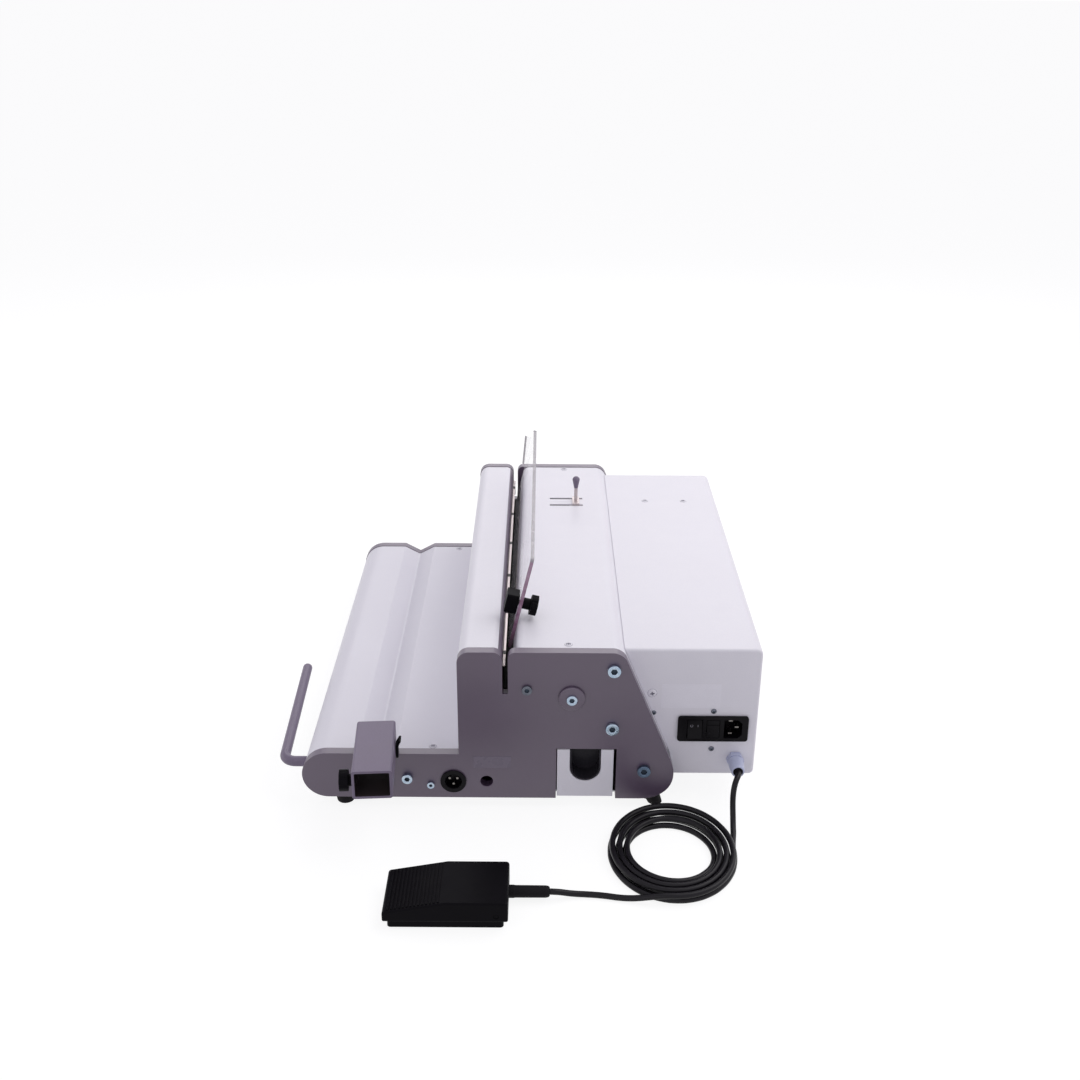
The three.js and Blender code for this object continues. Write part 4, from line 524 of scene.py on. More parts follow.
def sheet(path, steps=12, holes=()):
    """The outside of a bent sheet between the plates: it follows the path in y and z, less its holes."""
    bm = extruded(flat(path, upright(-COVER_HALF), steps, closed=False), (2 * COVER_HALF, 0, 0))
    for low, high in holes:
        for axis in range(3):
            for at in (low[axis], high[axis]):
                if abs(at) < BEYOND:
                    side = Vector([axis == i for i in range(3)])
                    split(bm, side * at, side)
        inside = [f for f in bm.faces
                  if all(low[i] < f.calc_center_median()[i] < high[i] for i in range(3))]
        bmesh.ops.delete(bm, geom=inside, context="FACES")
    return bm


def walled(bm, outside, thickness=COVER_SHEET, width=0.3):
    """Gives a sheet its thickness, away from the outside: a point that its faces must look towards."""
    bmesh.ops.recalc_face_normals(bm, faces=bm.faces[:])
    bm.normal_update()
    face = min(bm.faces, key=lambda f: (f.calc_center_median() - Vector(outside)).length)
    if face.normal.dot(Vector(outside) - face.calc_center_median()) < 0:
        bmesh.ops.reverse_faces(bm, faces=bm.faces[:])
    bm.normal_update()
    bmesh.ops.solidify(bm, geom=bm.faces[:], thickness=thickness)
    bmesh.ops.recalc_face_normals(bm, faces=bm.faces[:])
    return softened(bm, width, 2, 60)


table = sheet([
    (-150.5, 0.6), (-224.9, 0.6, 23.89), (-224.9, TABLE_TOP, 23.89), (-173.5, TABLE_TOP, 3),
    (-155, 38.4, 3), (-136.5, TABLE_TOP, 3), (-68.3, TABLE_TOP),
], holes=[((211.5, -BEYOND, 19), (222.5, -200, 30))])
# The table cover takes the white with painted shade
piece("table_cover", walled(table, (0, -100, 400)), shaded_table_paint, ["front_table_cover"])

tower = sheet([(-75.7, 48.7), (-75.7, COVER_TOP, 10.9), (-35.3, COVER_TOP, 8.4), (-35.3, 140.5)])
piece("tower_sheet", walled(tower, (0, -60, 900)), white_coat, ["tower_cover"])

# The rear cover starts behind the leaning paper support, whose foot stands at FOOT_Y, FOOT_Z
LEAN = radians(13.2)
HALF_BLADE = 1.75
FOOT_Y = -29.5
FOOT_Z = 131.3 + HALF_BLADE * sin(LEAN)


def lean_at(z):
    """Where the cover's front edge stands at a height, just clear of the support's rear face."""
    return FOOT_Y + (z - FOOT_Z) * tan(LEAN) + (HALF_BLADE + 0.3) / cos(LEAN)


SLOPE_INSET = 0.6 / cos(atan2(SLOPE_RUN, PLATE_TOP))
rear = sheet([
    (lean_at(139), 139), (lean_at(COVER_TOP), COVER_TOP, 7),
    (slope_at(COVER_TOP) - SLOPE_INSET, COVER_TOP, 13.4), (slope_at(46) - SLOPE_INSET, 46),
], holes=[
    ((-130.5, 9.8, 150), (-126.5, 47.8, 160)),
    ((-111, 9.8, 150), (-107, 47.8, 160)),
    ((-202, 76, 79.4), (-145.5, 141, 131.4)),
])
piece("rear_sheet", walled(rear, (0, 30, 900)), white_coat, ["rear_cover"])

# Motor housing: a box of folded sheet, open where it meets the slanted rear cover
HOUSING_FLOOR, HOUSING_REAR = 15.5, 206
inset = SLOPE_INSET - 0.3
housing = extruded(flat([
    (127.89, 31.73, 30.677), (121.98, HOUSING_FLOOR), (HOUSING_REAR, HOUSING_FLOOR, 5),
    (HOUSING_REAR, HOUSING_TOP, 6), (slope_at(HOUSING_TOP) - inset, HOUSING_TOP),
], upright(-HOUSING_HALF), 8), (2 * HOUSING_HALF, 0, 0))
open_faces = [f for f in housing.faces if abs(f.normal.x) < 0.5 and f.normal.y < -0.5]
bmesh.ops.delete(housing, geom=open_faces, context="FACES")
softened(housing, 2.6, 4, 60)
housing = walled(housing, (0, 150, 900), width=0.2)
INLET_Y, INLET_Z = 163.8, 67.8
INLET_SCREWS = (86.4, 44.8)
GLAND = (0, 187, 34)
housing = cut(
    housing,
    box((200, 133.5, 56.5), (240, 194.1, 79.1)),
    rod(4.3, 200, 240, GLAND, sides=24),
    *[rod(1.9, 200, 240, (0, INLET_Y, z), sides=24) for z in INLET_SCREWS],
)
piece("housing_shell", housing, white_coat, ["motor_housing"])


# Screws
def socket_head(face, y, z, radius, height, socket, side=1):
    """A round head with a hexagon socket, standing on a plate's face."""
    bm = bmesh.new()
    rim = bmesh.ops.create_circle(bm, cap_ends=False, segments=48, radius=radius)["verts"]
    hexagon = bmesh.ops.create_circle(bm, cap_ends=False, segments=6, radius=socket)["verts"]
    bmesh.ops.triangle_fill(bm, edges=bm.edges[:], use_beauty=True, normal=(0, 0, 1))
    ring, well = [
        [e for e in bm.edges if len(e.link_faces) == 1 and all(v in circle for v in e.verts)]
        for circle in (rim, hexagon)
    ]
    for edges, depth in ((ring, -height), (well, -0.62 * height)):
        new = bmesh.ops.extrude_edge_only(bm, edges=edges)["geom"]
        shifted(bm, new, (0, 0, depth))
        loop = [g for g in new if isinstance(g, bmesh.types.BMEdge)]
        loop = [e for e in loop if all(abs(v.co.z - depth) < 1e-5 for v in e.verts)]
        bmesh.ops.contextual_create(bm, geom=loop)
    bmesh.ops.recalc_face_normals(bm, faces=bm.faces[:])
    softened(bm, 0.09 * radius, 3, 50)
    # Faces down in the socket take the second material, painted shade
    for part in bm.faces:
        middle = part.calc_center_median()
        part.material_index = int(middle.z < -0.12 * height and middle.xy.length < 1.02 * socket)
    turn = Matrix.Rotation(radians(90) * side, 4, "Y")
    return moved(bm, Matrix.Translation((face + side * height, y, z)) @ turn)


for name, (y, z) in RODS.items():
    radius = 5.1 if name == "front" else 6.2
    # The low rear bolt takes the zinc with painted shade
    plating = shade_zinc if name == "rear_low" else zinc
    piece(name + "_cap_screw", socket_head(SEAT, y, z, radius, 4, 0.5 * radius), [plating, recess_shade],
          [name + "_bolt"])
    coated(turned_steel, name + "_tie_rod")
piece("die_cap_screw", socket_head(SEAT, -12.1, 120, 4.75, 2.5, 2.3), [dull_zinc, recess_shade],
      ["die_screw"])
piece("nose_cap_screw", socket_head(SEAT, -103.3, 15.1, 3.5, 2.5, 1.7), [zinc, recess_shade],
      ["nose_screw"])


def cross_head(radius, height, recess, ring=0.0):
    """A screw head with a cross recess, upright at the origin; ring is the width of a thin ring of painted
    shadow round it.
    """
    arc = [(height * sin(a), radius * cos(a)) for a in [pi / 2 * i / 8 for i in range(9)]]
    head = turned([(0, 0), (0, radius)] + arc[1:-1] + [(height, 0)], (0, 0, 0), (0, 0, 1), 32)
    half = 0.16 * radius
    bars = [box((-recess, -half, 0.3 * height), (recess, half, height + 1)) for _ in range(2)]
    bmesh.ops.rotate(bars[1], cent=(0, 0, 0), matrix=Matrix.Rotation(pi / 2, 3, "Z"), verts=bars[1].verts[:])
    head = cut(head, *bars)
    for face in head.faces:
        # Faces down in the cross recess take the second material, which paints the shade there
        middle = face.calc_center_median()
        face.material_index = int(middle.xy.length < recess and middle.z < 0.85 * height)
    # The ring is a thin flat band in the second material: painted shadow round the head
    if ring:
        gap = turned([(0, radius), (0, radius + ring), (0.03, radius + ring), (0.03, radius)], (0, 0, 0),
                     (0, 0, 1), 32)
        for face in gap.faces:
            face.material_index = 1
        head = joined(head, gap)
    return head


def fixed_on(bm, spot, normal, spin=0.0):
    """Sets an upright piece on a surface."""
    turn = Vector((0, 0, 1)).rotation_difference(Vector(normal)).to_matrix().to_4x4()
    return moved(bm, Matrix.Translation(spot) @ turn @ Matrix.Rotation(radians(spin), 4, "Z"))


cover_screws = [
    ("table_screw_near", (225.8, -101.6, TABLE_TOP)), ("table_screw_far", (-223.5, -104.4, TABLE_TOP)),
    ("rear_screw_near", (223, 25.7, COVER_TOP)), ("rear_screw_far", (-223, 27.8, COVER_TOP)),
    ("housing_screw_front", (-136.1, 121.9, HOUSING_TOP)),
    ("housing_screw_rear", (-136.1, 166.9, HOUSING_TOP)),
]
for name, spot in cover_screws:
    head = fixed_on(cross_head(3.5, 1.1, 2.2, 0.3), spot, (0, 0, 1), 8)
    piece(name, head, [white_coat, screw_shadow_paint])
head = fixed_on(cross_head(4.2, 1.6, 2, 0.25), (HOUSING_HALF, 105, 105.9), (1, 0, 0), 10)
piece("side_screw_high", head, [white_coat, screw_shadow_paint])
head = fixed_on(cross_head(2.4, 1.2, 1.4), (HOUSING_HALF, 107.3, 84.4), (1, 0, 0), 40)
piece("side_screw_low", head, [dull_zinc, recess_shade])

# Caps over the ends of the punch shaft
CAP_HEIGHT = 3.4
shoulder = [(1.5 + 1.3 * sin(a), 11.05 + 1.3 * cos(a)) for a in [pi / 16 * i for i in range(8)]]
cap = [(0, 0), (0, 12.1), (0.25, 12.35)] + shoulder + [(3.1, 8), (CAP_HEIGHT, 5), (CAP_HEIGHT, 0)]
for side, name in ((1, "right"), (-1, "left")):
    dome = turned([(side * (SEAT + a), r) for a, r in cap], SHAFT, (1, 0, 0))
    piece(name + "_cap_dome", dome, plate_coat, [name + "_shaft_cap"])
    bolt = socket_head(side * (SEAT + CAP_HEIGHT), *SHAFT[1:], 5, 2.15, 2.5, side)
    piece(name + "_cap_bolt", bolt, [zinc, recess_shade])

# Inner parts keep their solids and get the finishes of machined steel and sheet
coated(tool_steel, "drive_gear", "gear_motor")
# The die bars take the oiled steel with painted shade
coated(oiled_and_shaded_steel, "die_plate", "punch_guide_block", "slot_floor_bar")
coated(turned_steel, "punch_bar", "punch_shaft", "right_shaft_bearing", "left_shaft_bearing", "motor_pinion")
coated(sheet_steel, "base_plate", "chip_chute")
coated(strip_steel, "paper_guide_strip")

# Thin taupe sheet over the tower cover's rounded rear lip, darker than the white under it, with a bright
# strip below it along the slot
arc = [(-43.7 + 8.45 * cos(a), 149.6 + 8.45 * sin(a)) for a in [radians(54 - 6 * i) for i in range(10)]]
lip = extruded(flat(arc + [(-35.25, 131.6)], upright(-229.5), closed=False), (459, 0, 0))
piece("slot_lip_taupe_sheet", walled(lip, (0, 0, 150), 0.3, 0.1), plate_coat)
piece("slot_lip_strip", box((-229.5, -34.85, 138.6), (229.5, -32.3, 140), 0.2), strip_steel)

# Dark spring clips that hold the strip
CLIPS, CLIP_SPACING = 6, 82.5
for i in range(CLIPS):
    x = (i - (CLIPS - 1) / 2) * CLIP_SPACING
    clip = box((x - 3, -34.9, 131.6), (x + 3, -32.1, 140.4), 0.3)
    piece(f"strip_clip_{i + 1}", clip, blued_steel)

# Paper support of clear acrylic, drawn upright and leant back about its foot
LEANT = Matrix.Translation((0, FOOT_Y, FOOT_Z)) @ Matrix.Rotation(-LEAN, 4, "X")
BLADE_END, BLADE_TOP = 181.5, 95
GUIDE = (170, 0, 43.5)   # axis of the side guide's screw


track = extruded(flat([
    (38, 40.3, 3.19), (173.5, 40.3, 3.19), (173.5, 46.7, 3.19), (38, 46.7, 3.19),
], facing(-10)), (0, 20, 0))
blade = extruded(flat([
    (-BLADE_END, 0), (BLADE_END, 0), (BLADE_END, BLADE_TOP, 4), (-BLADE_END, BLADE_TOP, 4),
], facing(-HALF_BLADE)), (0, 2 * HALF_BLADE, 0))
blade = softened(cut(blade, track), 0.25, 2, 60)
for face in blade.faces:
    middle = face.calc_center_median()
    if abs(face.normal.y) < 0.99 and middle.z > BLADE_TOP - 3:
        face.material_index = 1
    elif abs(face.normal.y) < 0.99 and middle.x > BLADE_END - 1.5:
        face.material_index = 2
piece("support_sheet", moved(blade, LEANT), [clear_acrylic, acrylic_top, acrylic_edge],
      ["paper_support"])

# Fixed stop at the far end: a small blade with a slanted front edge, frosted over its first millimetres
stop = extruded(flat([
    (-2.05, 50), (-5.3, 50), (-10.05, 85), (-2.05, 85),
], upright(-BLADE_END)), (1.5, 0, 0))
softened(stop, 0.25)
front_edge = Vector((0, -35, -4.75)).normalized()
split(stop, (0, -3, 50), front_edge)
for face in stop.faces:
    face.material_index = int((face.calc_center_median() - Vector((0, -3.1, 50))).dot(front_edge) > 0)
piece("stop_blade", moved(stop, LEANT), [clear_acrylic, acrylic_frost], ["side_stop"])

# Side guide: a block before the blade and a knob behind it
guide = extruded(flat([
    (161.5, 34, 1.5), (178.5, 34, 1.5), (178.5, 53, 1.5), (161.5, 53, 1.5),
], facing(-14.05)), (0, 12, 0))
guide = cut(softened(guide, 0.8, 3, 60), rod(2.8, -9, 6, GUIDE, "y", 32))
piece("guide_block", moved(guide, LEANT), moulded_abs, ["side_guide"], "guide_carriage")


def lobed_knob(thickness):
    """A knob with eight hollows round its rim, its seat at the origin and its axis along z."""
    radius, around = 9.75, 9.75 + 0.8
    hollows = [
        rod(1.6, -1, thickness + 1, (around * cos(pi / 4 * i), around * sin(pi / 4 * i), 0), "z", 20)
        for i in range(8)
    ]
    disc = cut(rod(radius, 0, thickness, (0, 0, 0), "z", 64), *hollows)
    return softened(disc, 1.0, 3, 60)


KNOB_SEAT = 10.05
guide_knob = joined(
    fixed_on(lobed_knob(6.5), (GUIDE[0], KNOB_SEAT, GUIDE[2]), (0, 1, 0)),
    turned([(2.05, 0), (2.05, 5.1), (2.5, 5.5), (KNOB_SEAT, 5.5), (KNOB_SEAT, 0)], GUIDE, (0, 1, 0)),
    rod(2.5, -8.05, 2.05, GUIDE, "y", 32, 0.3),
)
piece("guide_knob_head", moved(guide_knob, LEANT), moulded_abs, ["side_guide_knob"],
      "guide_knob")

# Margin slider in its two slots
SLIDER = (-118.75, 40, 0)
GRIP_FOOT, GRIP_WIDE, GRIP_RADIUS = 175.6, 185.4, 4.2
carriage = joined(
    box((-136.75, 32.5, 153.2), (-100.75, 47.5, 156.2), 0.4),
    box((-129.75, 36, 156.2), (-127.25, 44, 158.3), 0.2),
    box((-110.25, 36, 156.2), (-107.75, 44, 158.3), 0.2),
    box((-129.75, 36, 158.3), (-107.75, 44, 160.3), 0.4),
    rod(2, 160.3, 175.3, SLIDER, "z", 32, 0.2),
)
piece("slider_carriage", carriage, strip_steel, ["margin_slider"], "margin_carriage")
crown = [pi / 20 * i for i in range(1, 10)]
grip = [(GRIP_FOOT, 0), (GRIP_FOOT, 2.2), (GRIP_WIDE, GRIP_RADIUS)]
grip += [(GRIP_WIDE + GRIP_RADIUS * sin(a), GRIP_RADIUS * cos(a)) for a in crown]
grip += [(GRIP_WIDE + GRIP_RADIUS, 0)]
piece("slider_grip", turned(grip, SLIDER, (0, 0, 1), 40), tube_coat, ["margin_grip"],
      "margin_carriage")

# Square holder tube with its flange, knob and clip, drawn along x and then turned a little
YAWED = Matrix.Translation((230, -153.6, 49.9)) @ Matrix.Rotation(radians(3.9), 4, "Z")
TUBE_LENGTH, TUBE_HEIGHT, TUBE_HALF_WIDTH, TUBE_WALL = 82, 29, 18, 2.5
HOLDER_KNOB = (73, 0, TUBE_HEIGHT / 2)


def square(wall):
    """Outline of the tube, drawn in by a wall."""
    side, top, radius = TUBE_HALF_WIDTH - wall, TUBE_HEIGHT - wall, 2.5 - wall / 2
    return [(-side, wall, radius), (side, wall, radius), (side, top, radius), (-side, top, radius)]


tube = cut(extruded(flat(square(0), upright(0)), (TUBE_LENGTH, 0, 0)),
           extruded(flat(square(TUBE_WALL), upright(-5)), (TUBE_LENGTH + 10, 0, 0)))
tube = cut(tube, rod(3.3, -25, -10, HOLDER_KNOB, "y", 32))
softened(tube, 0.35, 2, 60)
# Faces inside the tube take the second material, painted shade
for face in tube.faces:
    middle = face.calc_center_median()
    face.material_index = int(abs(middle.y) < 15.9 and 2.3 < middle.z < 26.7 and 0.5 < middle.x < 81.5)
piece("tube_shell", moved(tube, YAWED), [tube_coat, tube_bore], ["holder_tube"])
flange = box((SEAT, -170, 11.9), (SEAT + 3, -140, 49.8), 0.5)
piece("tube_flange", flange, tube_coat)
holder_knob = joined(
    fixed_on(lobed_knob(8), (HOLDER_KNOB[0], -21.3, HOLDER_KNOB[2]), (0, -1, 0)),
    rod(5.5, -21.3, -18.3, HOLDER_KNOB, "y", 40, 0.4),
    rod(3, -18.3, -15.2, HOLDER_KNOB, "y", 32, 0.2),
)
piece("tube_knob_head", moved(holder_knob, YAWED), moulded_abs, ["holder_knob"], "tube_knob")
clip = softened(extruded(flat([
    (18.3, 2.5), (20.7, 2.5), (20.7, 14, 3), (23.7, 20.5), (21.6, 20.5), (18.3, 14.5, 3),
], upright(13)), (10, 0, 0)), 0.4)
piece("tube_clip", moved(clip, YAWED), moulded_abs, ["holder_clip"])

# Accessory socket with its three pins
SOCKET = (0, -81.8, 19.1)
SOCKET_FLOOR = 232.9
PIN_CIRCLE = 4.2
shell = turned([
    (218.3, 0), (218.3, 9.5), (SEAT, 9.5), (SEAT, 12), (240.6, 12.3), (241.5, 12.3), (241.9, 11.9),
    (241.9, 8.4), (241.5, 8), (SOCKET_FLOOR, 8), (SOCKET_FLOOR, 0),
], SOCKET, (1, 0, 0), 64)
piece("socket_shell", shell, gloss_plastic, ["connector_socket"])
for i in range(3):
    angle = -pi / 2 + 2 * pi * i / 3
    spot = (0, SOCKET[1] + PIN_CIRCLE * cos(angle), SOCKET[2] + PIN_CIRCLE * sin(angle))
    pin = rod(1.3, SOCKET_FLOOR, SOCKET_FLOOR + 6, spot, sides=20, width=0.4)
    piece(f"socket_pin_{i + 1}", pin, nickel)

# Front lever: round bar drawn out of the nose, round one bend and along the front, with a collar
STUB = (217, 0, 24.5)
STUB_REAR, STUB_FRONT = -199.5, -235.5
BEND_RADIUS = 12
BAR_LENGTH = 171.4
lever = bmesh.new()
bmesh.ops.create_circle(lever, cap_ends=True, segments=32, radius=5)
moved(lever, Matrix.Translation((STUB[0], STUB_REAR, STUB[2])) @ Matrix.Rotation(radians(90), 4, "X"))


def drawn_out(bm, face, step):
    """Draws the end face of a bar out and gives the new end face."""
    new = bmesh.ops.extrude_face_region(bm, geom=[face])["geom"]
    shifted(bm, new, step)
    return next(g for g in new if isinstance(g, bmesh.types.BMFace))


splay = atan2(7, 166)   # the bar stands a little off the nose at its free end
end = drawn_out(lever, lever.faces[:][0], (0, STUB_FRONT - STUB_REAR, 0))
bend = bmesh.ops.spin(lever, geom=[end], cent=(STUB[0] - BEND_RADIUS, STUB_FRONT, STUB[2]), axis=(0, 0, 1),
                      dvec=(0, 0, 0), angle=-(pi / 2 - splay), steps=14)["geom_last"]
end = next(g for g in bend if isinstance(g, bmesh.types.BMFace))
end = drawn_out(lever, end, (-BAR_LENGTH * cos(splay), -BAR_LENGTH * sin(splay), 0))
bmesh.ops.remove_doubles(lever, verts=lever.verts[:], dist=1e-3)
end = min(lever.faces, key=lambda f: f.calc_center_median().x)
bmesh.ops.bevel(lever, geom=end.edges[:], offset=4.6, offset_type="OFFSET", segments=6, profile=0.5,
                affect="EDGES", material=-1, clamp_overlap=True)
bmesh.ops.recalc_face_normals(lever, faces=lever.faces[:])
collar = rod(8, -213.25, -209.25, STUB, "y", 40, 0.5)
piece("lever_bar", joined(lever, collar), tube_coat, ["front_lever"], "lever")

# Chip drawer with its pull cup
DRAWER_START, DRAWER_STOP, DRAWER_FLOOR, DRAWER_TOP = 16.5, 69.6, 2.6, 55
MIDDLE = (DRAWER_START + DRAWER_STOP) / 2
CUP_HALF, CUP_FLOOR, CUP_CURVE = 14.7, 20, 14.69
front = extruded(flat([
    (DRAWER_START, DRAWER_FLOOR), (DRAWER_STOP, DRAWER_FLOOR), (DRAWER_STOP, DRAWER_TOP),
    (MIDDLE + CUP_HALF, DRAWER_TOP), (MIDDLE + CUP_HALF, CUP_FLOOR, CUP_CURVE),
    (MIDDLE - CUP_HALF, CUP_FLOOR, CUP_CURVE), (MIDDLE - CUP_HALF, DRAWER_TOP), (DRAWER_START, DRAWER_TOP),
], upright(236), 14), (4, 0, 0))
softened(front, 0.5, 2, 60)
tray = box((-226, DRAWER_START, DRAWER_FLOOR), (235.98, DRAWER_STOP, 51.6))
open_sides = [f for f in tray.faces if f.normal.z > 0.9 or f.normal.x > 0.9]
bmesh.ops.delete(tray, geom=open_sides, context="FACES")
tray = walled(tray, (0, 43, -500))
piece("drawer_body", joined(front, tray), white_coat, ["chip_drawer"], "chip_tray")


def cup_outline(gap, top):
    """Outline of the pull cup, drawn in by a gap."""
    half, low, curve = CUP_HALF - gap, CUP_FLOOR + gap, CUP_CURVE - gap
    left, right = MIDDLE - half, MIDDLE + half
    return [(left, low, curve), (right, low, curve), (right, top), (left, top)]


cup = cut(
    extruded(flat(cup_outline(0.3, 54.7), upright(220), 14), (19.25, 0, 0)),
    extruded(flat(cup_outline(1.8, 60), upright(221.5), 14), (30, 0, 0)),
)
# The pull cup's lighter grey is a painted reflection
piece("pull_cup", softened(cup, 0.3, 2, 60), pull_reflection_plastic, ["drawer_pull_cup"], "chip_tray")

# Mains inlet module: rim, body with three wells, rocker, fuse drawer and pins
FACE = 223.5
HOUSING_SEAT = 221.3
PIN_FLOOR = 206.5
ROCKER_Y = 146.5
rim = extruded(flat([
    (130.3, 54.1, 3), (197.3, 54.1, 3), (197.3, 81.5, 3), (130.3, 81.5, 3),
], upright(HOUSING_SEAT)), (2.2, 0, 0))
body = box((193.3, 133.8, 56.8), (221.32, 193.8, 78.8))


def well(middle, width, height, depth):
    """A block that cuts a well into the module."""
    return box((FACE - depth, middle - width / 2, INLET_Z - height / 2),
               (FACE + 6, middle + width / 2, INLET_Z + height / 2))


plug_well = extruded(flat([
    (174.3, 57.8, 1), (187.3, 57.8), (191.3, 61.8), (191.3, 73.8), (187.3, 77.8), (174.3, 77.8, 1),
], upright(PIN_FLOOR), 4), (23, 0, 0))
module = cut(joined(rim, body), well(ROCKER_Y, 14.6, 20.6, 12), well(INLET_Y, 12.6, 19.6, 20.3), plug_well)
softened(module, 0.35, 2, 60)
piece("inlet_shell", module, gloss_plastic, ["power_inlet"])
for i, (y, z) in enumerate(((180.8, 74.8), (180.8, 60.8), (186.8, INLET_Z))):
    pin = box((PIN_FLOOR, y - 2, z - 1), (219.5, y + 2, z + 1), 0.5, 2)
    piece(f"inlet_pin_{i + 1}", pin, nickel)
for i, z in enumerate(INLET_SCREWS):
    head = fixed_on(cross_head(2.7, 1.6, 1.6), (HOUSING_SEAT, INLET_Y, z), (1, 0, 0), 25 + 30 * i)
    piece(f"inlet_cross_screw_{i + 1}", head, [dull_zinc, recess_shade], [f"inlet_screw_{i + 1}"])

# Rocker, drawn as two slopes that meet over its pivot and tilted to one side, with its two marks
TILT = radians(6)
HALF_ROCKER = 9.7
slant = HALF_ROCKER * tan(TILT)
rocker = extruded(flat([
    (-HALF_ROCKER, slant), (0, 0), (HALF_ROCKER, slant),
    (HALF_ROCKER * 2 / 3, -6), (-HALF_ROCKER * 2 / 3, -6),
], lambda z, x: (x, -6.85, z)), (0, 13.7, 0))
softened(rocker, 0.5, 3, 20)
rocker_marks = joined(
    box((0.3, 2.7, 2.2), (0.48, 3.3, 4.8)),
    turned([(0.3, 0.9), (0.3, 1.5), (0.48, 1.5), (0.48, 0.9), (0.3, 0.9)], (0, -3, 3.5), (1, 0, 0), 32),
)
PIVOT = (Matrix.Translation((220.9, ROCKER_Y, INLET_Z)) @ Matrix.Rotation(-TILT, 4, "Y")
         @ Matrix.Translation((2.6, 0, 0)))
piece("rocker_body", moved(rocker, PIVOT), gloss_plastic, ["rocker_switch"], "power_rocker")
piece("rocker_marks", moved(rocker_marks, PIVOT), mark_ink, (), "power_rocker")
fuse = joined(
    box((203.5, 157.8, 58.3), (223.5, 169.8, 77.3), 0.5),
    box((223.5, 157.9, 63.05), (224.1, 169.7, 72.55), 0.2),
)
piece("fuse_body", fuse, gloss_plastic, ["fuse_drawer"], "fuse_holder")

# Cable gland: hexagon nut, and a smooth dome nut over a rubber seal that swells out round the cord
nut = rod(8.5, HOUSING_SEAT, 227.3, GLAND, sides=6, width=0.6)
dome = turned([
    (219.5, 0), (219.5, 3.5), (226, 3.5), (227.3, 6.7), (227.8, 7.2), (233, 7.2), (238.1, 6.84),
    (242.6, 6.45), (243.8, 6.15), (244.3, 5.5), (244.3, 4.9), (243.9, 4.6), (243.3, 4.5), (243.3, 3.6),
    (243.9, 2.9), (244.55, 2.6), (244.55, 0),
], GLAND, (1, 0, 0), 48)
for face in dome.faces:
    middle = face.calc_center_median()
    face.material_index = int(middle.x > 243 and (middle.yz - Vector(GLAND[1:])).length < 4.55)
piece("gland_body", joined(nut, dome), [gland_polyamide, nitrile], ["cable_gland"])

# Rubber feet: the rear ones sit on the plates' lower bend, lean back with it and are cut level with the floor
FOOT_X = 229
FOOT_LEAN = radians(22)
for side, name in ((1, "right"), (-1, "left")):
    pad = turned([
        (-10, 0), (-10, 7.5), (-9.6, 8.1), (-9, 8.4), (-1, 9.4), (-0.5, 9.3), (-0.3, 9), (-0.3, 0),
    ], (side * FOOT_X, -187, 0), (0, 0, 1), 40)
    piece(f"front_{name}_pad", pad, nitrile, [f"front_{name}_foot"])
    pad = turned([
        (31.3, 0), (31.3, 10.1), (31.6, 10.5), (32.9, 10.5), (33.3, 10.1), (33.3, 8.1), (34, 7.5),
        (46.75, 6.3), (46.75, 0),
    ], (side * FOOT_X, 94.98, 31), (0, sin(FOOT_LEAN), -cos(FOOT_LEAN)), 40)
    pad = cut(pad, box((side * FOOT_X - 20, 80, -30), (side * FOOT_X + 20, 140, -10)))
    piece(f"rear_{name}_pad", pad, nitrile, [f"rear_{name}_foot"])

# Foot pedal: base, hinged treadle with ribs on its slope, and the relief of its lead
PEDAL_START, PEDAL_WIDTH, PEDAL_WALL = 355, 56, 2.2
TOE, TOE_Z = -131, 7
INSTEP, INSTEP_Z = -79, 17
RIBS = 14
outer = extruded(flat([
    (-25.5, -2.5), (-25.5, INSTEP_Z, 3), (INSTEP, INSTEP_Z), (TOE, TOE_Z, 3), (TOE, -2.5),
], upright(PEDAL_START), 6), (PEDAL_WIDTH, 0, 0))
inner = extruded(flat([
    (-27.7, -9), (-27.7, 14.8, 0.8), (-79.2, 14.8), (-128.8, 5.2, 0.8), (-128.8, -9),
], upright(PEDAL_START + PEDAL_WALL), 6), (PEDAL_WIDTH - 2 * PEDAL_WALL, 0, 0))
softened(outer, 1.6, 4, 60)
lead_notch = box((365.15, -34, -9), (378.85, -20, 4.85))
hinge_hole = rod(2.3, 350, 420, (0, -35.5, 3.5), sides=24)
treadle = cut(outer, inner, lead_notch, hinge_hole)
fall = (INSTEP_Z - TOE_Z) / (INSTEP - TOE)
ribs = []
for i in range(RIBS):
    y = TOE + (i + 1.5) * (INSTEP - TOE) / (RIBS + 2)
    z = TOE_Z + fall * (y - TOE)
    ribs.append(box((PEDAL_START + PEDAL_WALL, y - 0.85, z - 0.6),
                    (PEDAL_START + PEDAL_WIDTH - PEDAL_WALL, y + 0.85, z + 0.8), 0.35))
piece("treadle_shell", joined(treadle, *ribs), moulded_abs, ["pedal_treadle"], "treadle")
coated(moulded_abs, "pedal_base")
relief = turned([
    (-29, 0), (-29, 5.6), (-21.5, 5.6), (-20.8, 5.35), (-20, 5.3), (6, 5.2), (8.2, 4.8), (9.2, 4),
    (9.5, 3.2), (9.5, 2.6), (9.76, 2.5), (9.76, 0),
], (372, 0, -2), (0, 1, 0), 40)
piece("lead_relief", relief, nitrile, ["pedal_strain_relief"])

# Blank rating plate on the housing and a small one on the right plate, with nothing printed on them
plate_blank = box((221.02, 113.8, 89.7), (221.2, 169.4, 115.8), 0.05, 1)
piece("blank_rating_plate", plate_blank, polyester_film)
small_blank = box((240.02, -62.5, 34), (240.15, -27, 47), 0.05, 1)
piece("blank_side_plate", small_blank, violet_film)


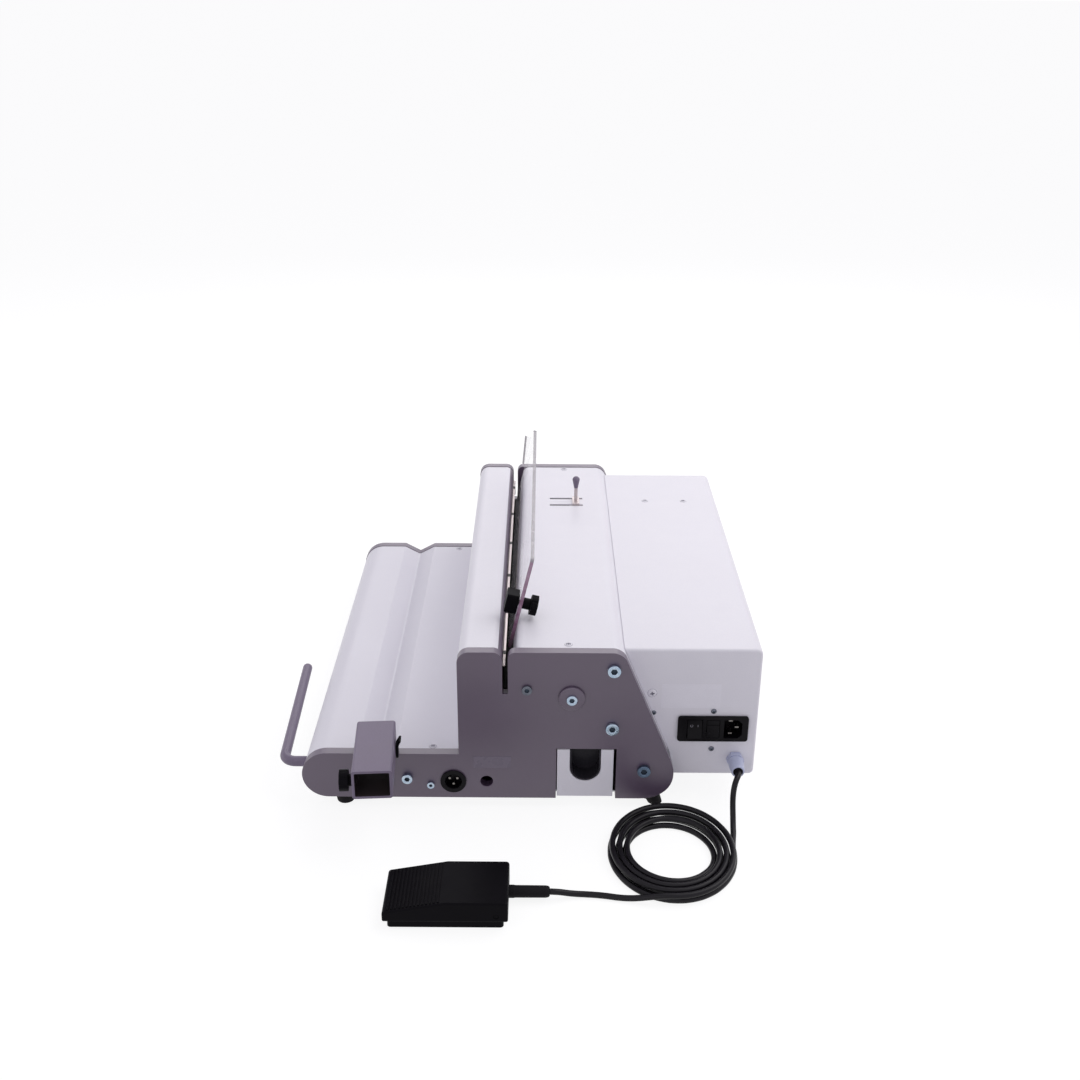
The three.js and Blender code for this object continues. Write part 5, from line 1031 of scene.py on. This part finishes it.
# Floor, daylight and lamps
WHITE = (1, 1, 1, 1)
SKY = (0.94, 0.92, 1, 1)       # cool daylight
LAMP_TINT = (1, 0.99, 0.965)   # slightly warm
FLOOR_GLOW = 1.14              # brightness that the floor shows of its own
GLOW_SHARE = 0.76              # how much of it covers the floor's shadows where it is seen


def seen_directly(tree):
    """The light path, and one for a ray from the camera, a reflection or a clear piece, nought for others."""
    rays = add(tree, "LightPath").outputs
    seen = add(tree, "Math", {0: rays["Is Camera Ray"], 1: rays["Is Glossy Ray"]}, operation="MAXIMUM")
    seen = add(tree, "Math", {0: seen.outputs[0], 1: rays["Is Transmission Ray"]}, operation="MAXIMUM")
    return rays, seen.outputs[0]


# Pale matt floor that shows white round the object and keeps its shadow
paper = bpy.data.materials.new("studio_paper")
paper.use_nodes = True
tree = paper.node_tree
rays, seen = seen_directly(tree)
share = add(tree, "Math", {0: seen, 1: GLOW_SHARE}, operation="MULTIPLY")
matt = add(tree, "BsdfDiffuse", {"Color": linear("#EFEFF1")})
glow = add(tree, "Emission", {"Color": WHITE, "Strength": FLOOR_GLOW})
mixed = add(tree, "MixShader", {0: share.outputs[0], 1: matt.outputs[0], 2: glow.outputs[0]})
tree.links.new(mixed.outputs[0], tree.nodes["Material Output"].inputs["Surface"])
ground = bmesh.new()
bmesh.ops.create_grid(ground, x_segments=1, y_segments=1, size=40)
mesh = bpy.data.meshes.new("studio_floor")
ground.to_mesh(mesh)
ground.free()
mesh.materials.append(paper)
floor = bpy.data.objects.new("studio_floor", mesh)
scene.collection.objects.link(floor)

# Daylight that is white to the camera, and half as strong for the light that it casts
world = bpy.data.worlds.new("studio")
scene.world = world
world.use_nodes = True
tree = world.node_tree
rays, seen = seen_directly(tree)
level = add(tree, "MapRange", {"Value": seen, "To Min": 0.5, "To Max": 1.0})
back = tree.nodes["Background"]
tint = add(tree, "Mix", {"Factor": rays["Is Camera Ray"], 6: SKY, 7: WHITE}, data_type="RGBA")
tree.links.new(tint.outputs[2], back.inputs["Color"])
tree.links.new(level.outputs[0], back.inputs["Strength"])


def lamp(name, power, size, spot):
    """A soft lamp in metres and watts, turned towards the machine."""
    data = bpy.data.lights.new(name, "AREA")
    data.energy = power
    data.shape = "RECTANGLE"
    data.size, data.size_y = size
    data.color = LAMP_TINT
    obj = bpy.data.objects.new(name, data)
    obj.location = spot
    obj.rotation_euler = (Vector((0, 0, 0.05)) - Vector(spot)).to_track_quat("-Z", "Y").to_euler()
    scene.collection.objects.link(obj)


lamp("rear_softbox", 14.2, (1.8, 1.4), (-0.3, 1.0, 1.5))
lamp("front_softbox", 2.4, (1.4, 1.0), (1.7, -0.5, 0.9))
lamp("nose_softbox", 5, (1.6, 0.6), (0, -1.8, 0.35))
lamp("far_strip_light", 6.5, (1.8, 0.5), (-1.75, 0, 1.1))
